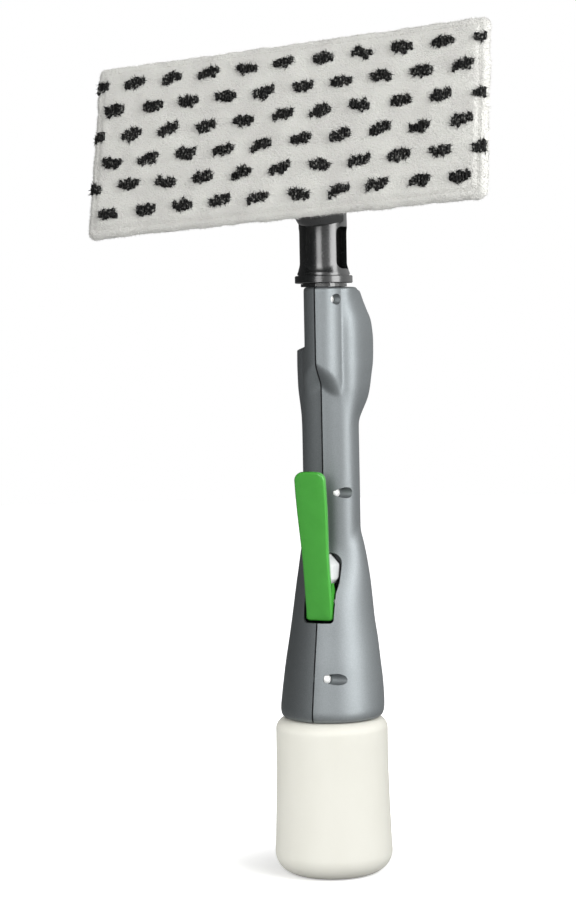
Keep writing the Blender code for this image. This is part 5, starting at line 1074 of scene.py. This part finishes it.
# %% Where the pad is
PAD_WIDTH, PAD_HEIGHT = 0.2560, 0.1140
PAD_BACK, PAD_FACE = -0.0178, -0.0249
SEAM_INSET = 0.0052
SLAB_INSET, SLAB_CORNER, VOXEL = 0.0008, 0.0045, 0.0028
HEAD_ROLL, PITCH_PIN_RISE, HEAD_PITCH, PAD_SKEW = -2.9, 0.0100, -16.5, -0.6
PAD_SHIFT, PAD_STRETCH = (-0.0009, 0, 0.0021), (1.008, 1, 0.992, 1)
PITCH_PLACE = (
    Matrix.Translation((0, -ARM_REACH, ROLL_HEIGHT))
    @ Matrix.Rotation(math.radians(HEAD_ROLL), 4, "Y")
    @ Matrix.Translation((0, 0, PITCH_PIN_RISE))
    @ Matrix.Rotation(math.radians(HEAD_PITCH), 4, "X")
    @ Matrix.Rotation(math.radians(PAD_SKEW), 4, "Y")
    @ Matrix.Translation(PAD_SHIFT)
    @ Matrix.Diagonal(PAD_STRETCH)
)
outline = rounded_rectangle(PAD_WIDTH / 2 - SLAB_INSET, PAD_HEIGHT / 2 - SLAB_INSET, SLAB_CORNER, 6)
slab_place = Matrix.Translation((0, (PAD_BACK + PAD_FACE) / 2, 0)) @ UPRIGHT
slab = prism(outline, (PAD_BACK - PAD_FACE) / 2 - SLAB_INSET, slab_place)
pad = piece_of("microfibre_pad", slab, microfibre)
remesh = pad.modifiers.new("even", "REMESH")
remesh.mode = "VOXEL"
remesh.voxel_size = VOXEL
keep_result(pad)
print("pad", len(pad.data.vertices), "points before it is puffed up")


# %% Puff the pad up
def puffed(thing, pressure, cap, frames=20):
    """Swells a closed mesh as cloth and returns its points, none moved further than the cap."""
    start = np.array([v.co for v in thing.data.vertices])
    work = thing.modifiers.new("cloth", "CLOTH")
    work.settings.use_pressure = True
    work.settings.uniform_pressure_force = pressure
    work.settings.effector_weights.gravity = 0
    work.settings.quality = 4
    scene = bpy.context.scene
    for number in range(1, frames + 1):
        scene.frame_set(number)
    graph = bpy.context.evaluated_depsgraph_get()
    swollen = thing.evaluated_get(graph).to_mesh()
    end = np.array([v.co for v in swollen.vertices])
    thing.modifiers.clear()
    scene.frame_set(1)
    moved = end - start
    length = np.linalg.norm(moved, axis=1, keepdims=True)
    return start + moved * np.minimum(1, cap / np.maximum(length, 1e-9))


PRESSURE, PAD_CAP = 4.0, 0.0011
points = puffed(pad, PRESSURE, PAD_CAP)
points[:, 1] = np.minimum(points[:, 1], PAD_BACK + 0.0001)
points[:, 0] *= PAD_WIDTH / np.ptp(points[:, 0])
points[:, 2] *= PAD_HEIGHT / np.ptp(points[:, 2])
pad.data.vertices.foreach_set("co", points.ravel())
divide = pad.modifiers.new("smooth", "SUBSURF")
divide.levels = divide.render_levels = 1
keep_result(pad)
print("pad", len(pad.data.polygons), "faces")


# %% Press in the seam and ruffle the edge
def waves(x, z, size, seed):
    """A smooth wandering value between about -1 and 1, the same each run."""
    draw = np.random.default_rng(seed)
    total = np.zeros_like(x)
    for _ in range(7):
        angle, phase, stretch = draw.uniform(0, math.tau), draw.uniform(0, math.tau), draw.uniform(0.7, 1.6)
        total += np.sin((x * math.cos(angle) + z * math.sin(angle)) * math.tau * stretch / size + phase)
    return total / 3


SEAM_HALF_WIDTH, SEAM_DEPTH, HEM_DROP = 0.0011, 0.0011, 0.0008
BACK_SEAM_DEPTH, BACK_HEM_DROP = 0.0006, 0.0003
FACE_WAVE, FACE_WAVE_SIZE, FACE_WAVE_START = 0.00012, 0.030, 0.012
HEM_WAVE, HEM_WAVE_SIZE = 0.00016, 0.010
RUFFLE, RUFFLE_REACH = 0.00045, 0.006
x, y, z = np.array([v.co for v in pad.data.vertices]).T
edge = np.minimum(PAD_WIDTH / 2 - np.abs(x), PAD_HEIGHT / 2 - np.abs(z))
front = y < (PAD_BACK + PAD_FACE) / 2
groove = np.exp(-(((edge - SEAM_INSET) / SEAM_HALF_WIDTH) ** 2))
hem = 1 - ramp(edge, 0.0, SEAM_INSET)
pressed = y + SEAM_DEPTH * groove + HEM_DROP * hem
pressed -= FACE_WAVE * waves(x, z, FACE_WAVE_SIZE, 3) * ramp(edge, SEAM_INSET, FACE_WAVE_START)
pressed -= HEM_WAVE * waves(x, z, HEM_WAVE_SIZE, 5) * hem
y = np.where(front, pressed, y - BACK_SEAM_DEPTH * groove - BACK_HEM_DROP * hem)
ruffle = RUFFLE * (1 - ramp(edge, 0.0, RUFFLE_REACH))
x = x + ruffle * waves(z, z * 0, 0.014, 8) * (np.abs(x) > PAD_WIDTH / 2 - RUFFLE_REACH)
z = z + ruffle * waves(x, x * 0, 0.016, 9) * (np.abs(z) > PAD_HEIGHT / 2 - RUFFLE_REACH)
pad.data.vertices.foreach_set("co", np.stack((x, y, z), axis=1).ravel())
pad.data.shade_smooth()
pad.data.update()
face_of_pad = BVHTree.FromObject(pad, bpy.context.evaluated_depsgraph_get())
print("seam", round(SEAM_INSET * 1000, 1), "mm inside the edge")


def on_pad(x, z, lift):
    """A point on the pad's front face, lifted off it."""
    hit = face_of_pad.ray_cast(Vector((x, -0.1, z)), Vector((0, 1, 0)))[0]
    return Vector((x, hit.y - lift, z))


# %% [markdown]
# ## Stitches
#
# The seam is a line of lock stitches about 3 mm long. Geometry Nodes walks along the seam and lays one
# short thread at each step, turned along the line.

# %% Stitches along the seam
STITCH_SPACING, SEAM_CORNER, SEAM_STEP, STITCH_LIFT = 0.0034, 0.004, 0.002, 0.0001
sewing, given = new_tree(
    "stitches_along_a_line", [("Stitch", "Object", None), ("Spacing", "Float", STITCH_SPACING)]
)
line = node(sewing, "GeometryNodeMeshToCurve", {"Mesh": given["Geometry"]}).outputs["Curve"]
pace = {"Curve": line, "Length": given["Spacing"]}
steps = node(sewing, "GeometryNodeCurveToPoints", pace, mode="LENGTH").outputs
end_tree(sewing, given, copies_of(sewing, given["Stitch"], steps["Points"], Rotation=steps["Rotation"]))

# Radius and height along one stitch, in millimetres.
thread = ((0, -1.2), (0.18, -1.0), (0.26, -0.4), (0.26, 0.4), (0.18, 1.0), (0, 1.2))
thread = [(radius / 1000, height / 1000) for radius, height in thread]
stitch = piece_of("stitch_pattern", lathe(thread, 6), sewing_thread)
inset_x, inset_z = PAD_WIDTH / 2 - SEAM_INSET, PAD_HEIGHT / 2 - SEAM_INSET
seam = rounded_rectangle(inset_x, inset_z, SEAM_CORNER, 5)
dense = []
for (ax, az), (bx, bz) in zip(seam, seam[1:] + seam[:1]):
    count = max(1, round(math.dist((ax, az), (bx, bz)) / SEAM_STEP))
    for share in np.arange(count) / count:
        dense.append(on_pad(ax + (bx - ax) * share, az + (bz - az) * share, STITCH_LIFT))
seam_mesh = bpy.data.meshes.new("seam_line")
seam_mesh.from_pydata(dense, [(i, (i + 1) % len(dense)) for i in range(len(dense))], [])
stitches = grown("seam_stitches", seam_mesh, sewing, {"Stitch": stitch}, sewing_thread)
bpy.data.objects.remove(stitch)

# %% [markdown]
# ## Scrubbing tufts
#
# Six rows of black tufts are punched through the cover, the rows of ten set between the rows of eleven.
# Each tuft is about 13 by 8 mm and is a block of upright chenille: six or seven lumpy ridges side by
# side, frayed at both ends. One point marks each ridge. Geometry Nodes sets a lumpy bar on every point,
# turned and stretched at random from a fixed seed, and then scatters short fibres over the bars.

# %% Points for the ridges
TUFT_PITCH, ROW_PITCH, TUFT_ROWS, TUFT_COLUMNS = 0.0251, 0.0171, 6, 11
RIDGES, RIDGE_PITCH, RIDGE_LIFT = 7, 0.00185, 0.0006
TUFT_STRAY, RIDGE_STRAY_X, RIDGE_STRAY_Z = 0.0004, 0.00018, 0.0006
LEAST_SHEAR, MOST_SHEAR = -0.0010, 0.0014
END_SHORTER, END_POWER, SHORTEST, LONGEST = 0.34, 2.4, 0.66, 1.16
EDGE_KEEP = 0.0012
draw = np.random.default_rng(12)
spots, reaches, tufts = [], [], 0
for row in range(TUFT_ROWS):
    for column in range(TUFT_COLUMNS - row % 2):
        cx = (column + 0.5 * (row % 2) - (TUFT_COLUMNS - 1) / 2) * TUFT_PITCH + draw.normal(0, TUFT_STRAY)
        cz = ((TUFT_ROWS - 1) / 2 - row) * ROW_PITCH + draw.normal(0, TUFT_STRAY)
        shear, tufts = draw.uniform(LEAST_SHEAR, MOST_SHEAR), tufts + 1
        for u in np.linspace(-1, 1, RIDGES):
            x = cx + u * RIDGE_PITCH * (RIDGES - 1) / 2 + draw.normal(0, RIDGE_STRAY_X)
            if abs(x) < PAD_WIDTH / 2 - EDGE_KEEP:
                spots.append(on_pad(x, cz + shear * u + draw.normal(0, RIDGE_STRAY_Z), RIDGE_LIFT))
                reaches.append((1 - END_SHORTER * abs(u) ** END_POWER) * draw.uniform(SHORTEST, LONGEST))
ridge_points = bpy.data.meshes.new("ridge_points")
ridge_points.from_pydata(spots, [], [])
ridge_points.attributes.new("reach", "FLOAT", "POINT").data.foreach_set("value", reaches)
print(tufts, "tufts,", len(spots), "ridges")

# %% A tree that grows ridges and their fibres
FIBRE_SPIN = 3.0
RIDGE_TURN, RIDGE_GIRTH, FIBRE_SIZES = (0.1, 0.15, 0.1), (0.85, 1.2), (0.6, 1.1)


def fibres(tree, given, word, surface, cone, fill_type="NGON", **scale):
    """Thin cones that stand on a surface, each turned and leaning at random."""
    per_area = {"Mesh": surface, "Density": given[word + "s per m2"], "Seed": given["Seed"]}
    scatter = node(tree, "GeometryNodeDistributePointsOnFaces", per_area).outputs
    cone = {**cone, "Vertices": 3, "Radius Bottom": given[word + " Radius"], "Depth": given[word + " Length"]}
    fibre = node(tree, "GeometryNodeMeshCone", cone, fill_type=fill_type).outputs["Mesh"]
    less = node(tree, "ShaderNodeMath", {0: given["Lean"], 1: -1.0}, operation="MULTIPLY").outputs[0]
    low = node(tree, "ShaderNodeCombineXYZ", {0: less, 1: less, 2: -FIBRE_SPIN}).outputs[0]
    high = node(tree, "ShaderNodeCombineXYZ", {0: given["Lean"], 1: given["Lean"], 2: FIBRE_SPIN}).outputs[0]
    span = {0: low, 1: high, "Seed": given["Seed"]}
    lean = node(tree, "FunctionNodeRandomValue", span, data_type="FLOAT_VECTOR").outputs[0]
    turn = {"Rotation": scatter["Rotation"], "Rotate By": lean}
    tilt = node(tree, "FunctionNodeRotateRotation", turn, rotation_space="LOCAL").outputs["Rotation"]
    spots = {"Points": scatter["Points"], "Instance": fibre, "Rotation": tilt, **scale}
    return node(tree, "GeometryNodeInstanceOnPoints", spots).outputs["Instances"]


brushing, given = new_tree(
    "chenille_ridges",
    [
        ("Ridge", "Object", None),
        ("Fibres per m2", "Float", 470000.0),
        ("Fibre Length", "Float", 0.0019),
        ("Fibre Radius", "Float", 0.00024),
        ("Lean", "Float", 0.6),
        ("Seed", "Int", 4),
    ],
)
points = node(brushing, "GeometryNodeMeshToPoints", {"Mesh": given["Geometry"], "Radius": POINT_RADIUS})
span = {0: tuple(-angle for angle in RIDGE_TURN), 1: RIDGE_TURN, "Seed": given["Seed"]}
turn = node(brushing, "FunctionNodeRandomValue", span, data_type="FLOAT_VECTOR").outputs[0]
span = {2: RIDGE_GIRTH[0], 3: RIDGE_GIRTH[1], "Seed": given["Seed"]}
girth = node(brushing, "FunctionNodeRandomValue", span, data_type="FLOAT").outputs[1]
reach = node(brushing, "GeometryNodeInputNamedAttribute", {"Name": "reach"}, data_type="FLOAT")
stretch = node(brushing, "ShaderNodeCombineXYZ", {"X": girth, "Y": girth, "Z": reach.outputs["Attribute"]})
bars = copies_of(
    brushing, given["Ridge"], points.outputs["Points"], Rotation=turn, Scale=stretch.outputs[0]
)
body = node(brushing, "GeometryNodeRealizeInstances", {"Geometry": bars}).outputs["Geometry"]
span = {2: FIBRE_SIZES[0], 3: FIBRE_SIZES[1], "Seed": given["Seed"]}
size = node(brushing, "FunctionNodeRandomValue", span, data_type="FLOAT").outputs[1]
hairs = fibres(brushing, given, "Fibre", body, {"Side Segments": 2, "Radius Top": 0.00008}, Scale=size)
both = node(brushing, "GeometryNodeJoinGeometry")
for part in (body, hairs):
    brushing.links.new(part, both.inputs["Geometry"])
end_tree(brushing, given, both.outputs["Geometry"])

# %% Tufts
# Radius and height along one ridge, in millimetres: three lumps between its pointed ends.
lumps = ((0, -3.7), (0.55, -3.4), (0.95, -2.4), (0.72, -1.3), (1.0, 0))
lumps += ((0.74, 1.3), (0.95, 2.4), (0.55, 3.4), (0, 3.7))
profile = [(radius / 1000, height / 1000) for radius, height in lumps]
ridge = piece_of("ridge_pattern", lathe(profile, 6, Matrix.Diagonal((1.2, 1.7, 1.05, 1))), tuft_nylon, 180)
brush = grown("scrubbing_tufts", ridge_points, brushing, {"Ridge": ridge}, tuft_nylon)
bpy.data.objects.remove(ridge)

# %% [markdown]
# ## Pile on the cloth
#
# Microfibre towelling has a short pile that blurs its outline. It is grown from the front and the edges of
# the pad, as a separate mesh of very small spikes, and only the back, which lies on the plate, stays bare.

# %% Pile
BARE_BACK = 0.0012
piling, given = new_tree(
    "pile_on_cloth",
    [
        ("Loops per m2", "Float", 900000.0),
        ("Loop Length", "Float", 0.0013),
        ("Loop Radius", "Float", 0.00016),
        ("Lean", "Float", 0.9),
        ("Seed", "Int", 7),
    ],
)
spikes = fibres(piling, given, "Loop", given["Geometry"], {"Side Segments": 1, "Radius Top": 0.0}, "NONE")
end_tree(piling, given, spikes)

form = bmesh.new()
form.from_mesh(pad.data)
form.faces.ensure_lookup_table()
hidden = [face for face in form.faces if face.calc_center_median().y > PAD_BACK - BARE_BACK]
bmesh.ops.delete(form, geom=hidden, context="FACES")
open_face = bpy.data.meshes.new("open_face")
form.to_mesh(open_face)
form.free()
pile_mesh = grown("microfibre_pile", open_face, piling, {}, microfibre)

# %% Turn the pad to its place
for thing, node_name, slot in (
    (pad, "cleaning_pad", "pad_cloth"),
    (stitches, None, "pad_cloth"),
    (pile_mesh, None, "pad_cloth"),
    (brush, "scrub_tufts", "tuft_fibre"),
):
    thing.data.transform(PITCH_PLACE)
    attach(thing, "head")
    if node_name:
        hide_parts(node_name)
low_z = min(v.co.z for v in pad.data.vertices)
print("pad reaches down to", round(low_z, 4), "m")

# %% [markdown]
# ## Finishes of the other solids
#
# The remaining solids keep their shapes and only get their finish.

# %% Finishes
finishes = {
    white_acetal: ("bottle_socket", "pump_piston", "pump_cylinder", "dip_filter"),
    black_abs: ("neck_spigot", "joint_block", "head_plate", "nozzle_body", "nozzle_cap"),
    zinc: ("trigger_pin", "roll_pin", "pitch_pin"),
    rubber: ("bottle_gasket", "piston_seal", "inlet_valve", "outlet_valve"),
    clear_tube: ("dip_tube", "delivery_tube"),
    hook_tape: ("hook_strip_upper", "hook_strip_lower"),
}
for material, names in finishes.items():
    for name in names:
        nodes[name].data.materials.clear()
        nodes[name].data.materials.append(material)
print(sum(len(names) for names in finishes.values()), "solids finished")

# %% [markdown]
# ## The size
#
# The dressed model has to stay the size of the solids, so the sizes of both boxes are printed.

# %% Print the sizes
sizes = {name: [list(corner) for corner in box] for name, box in (("cad", cad_box), ("visual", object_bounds()))}
for name, (low, high) in sizes.items():
    print(name, [round((b - a) * 1000, 1) for a, b in zip(low, high)], "mm")
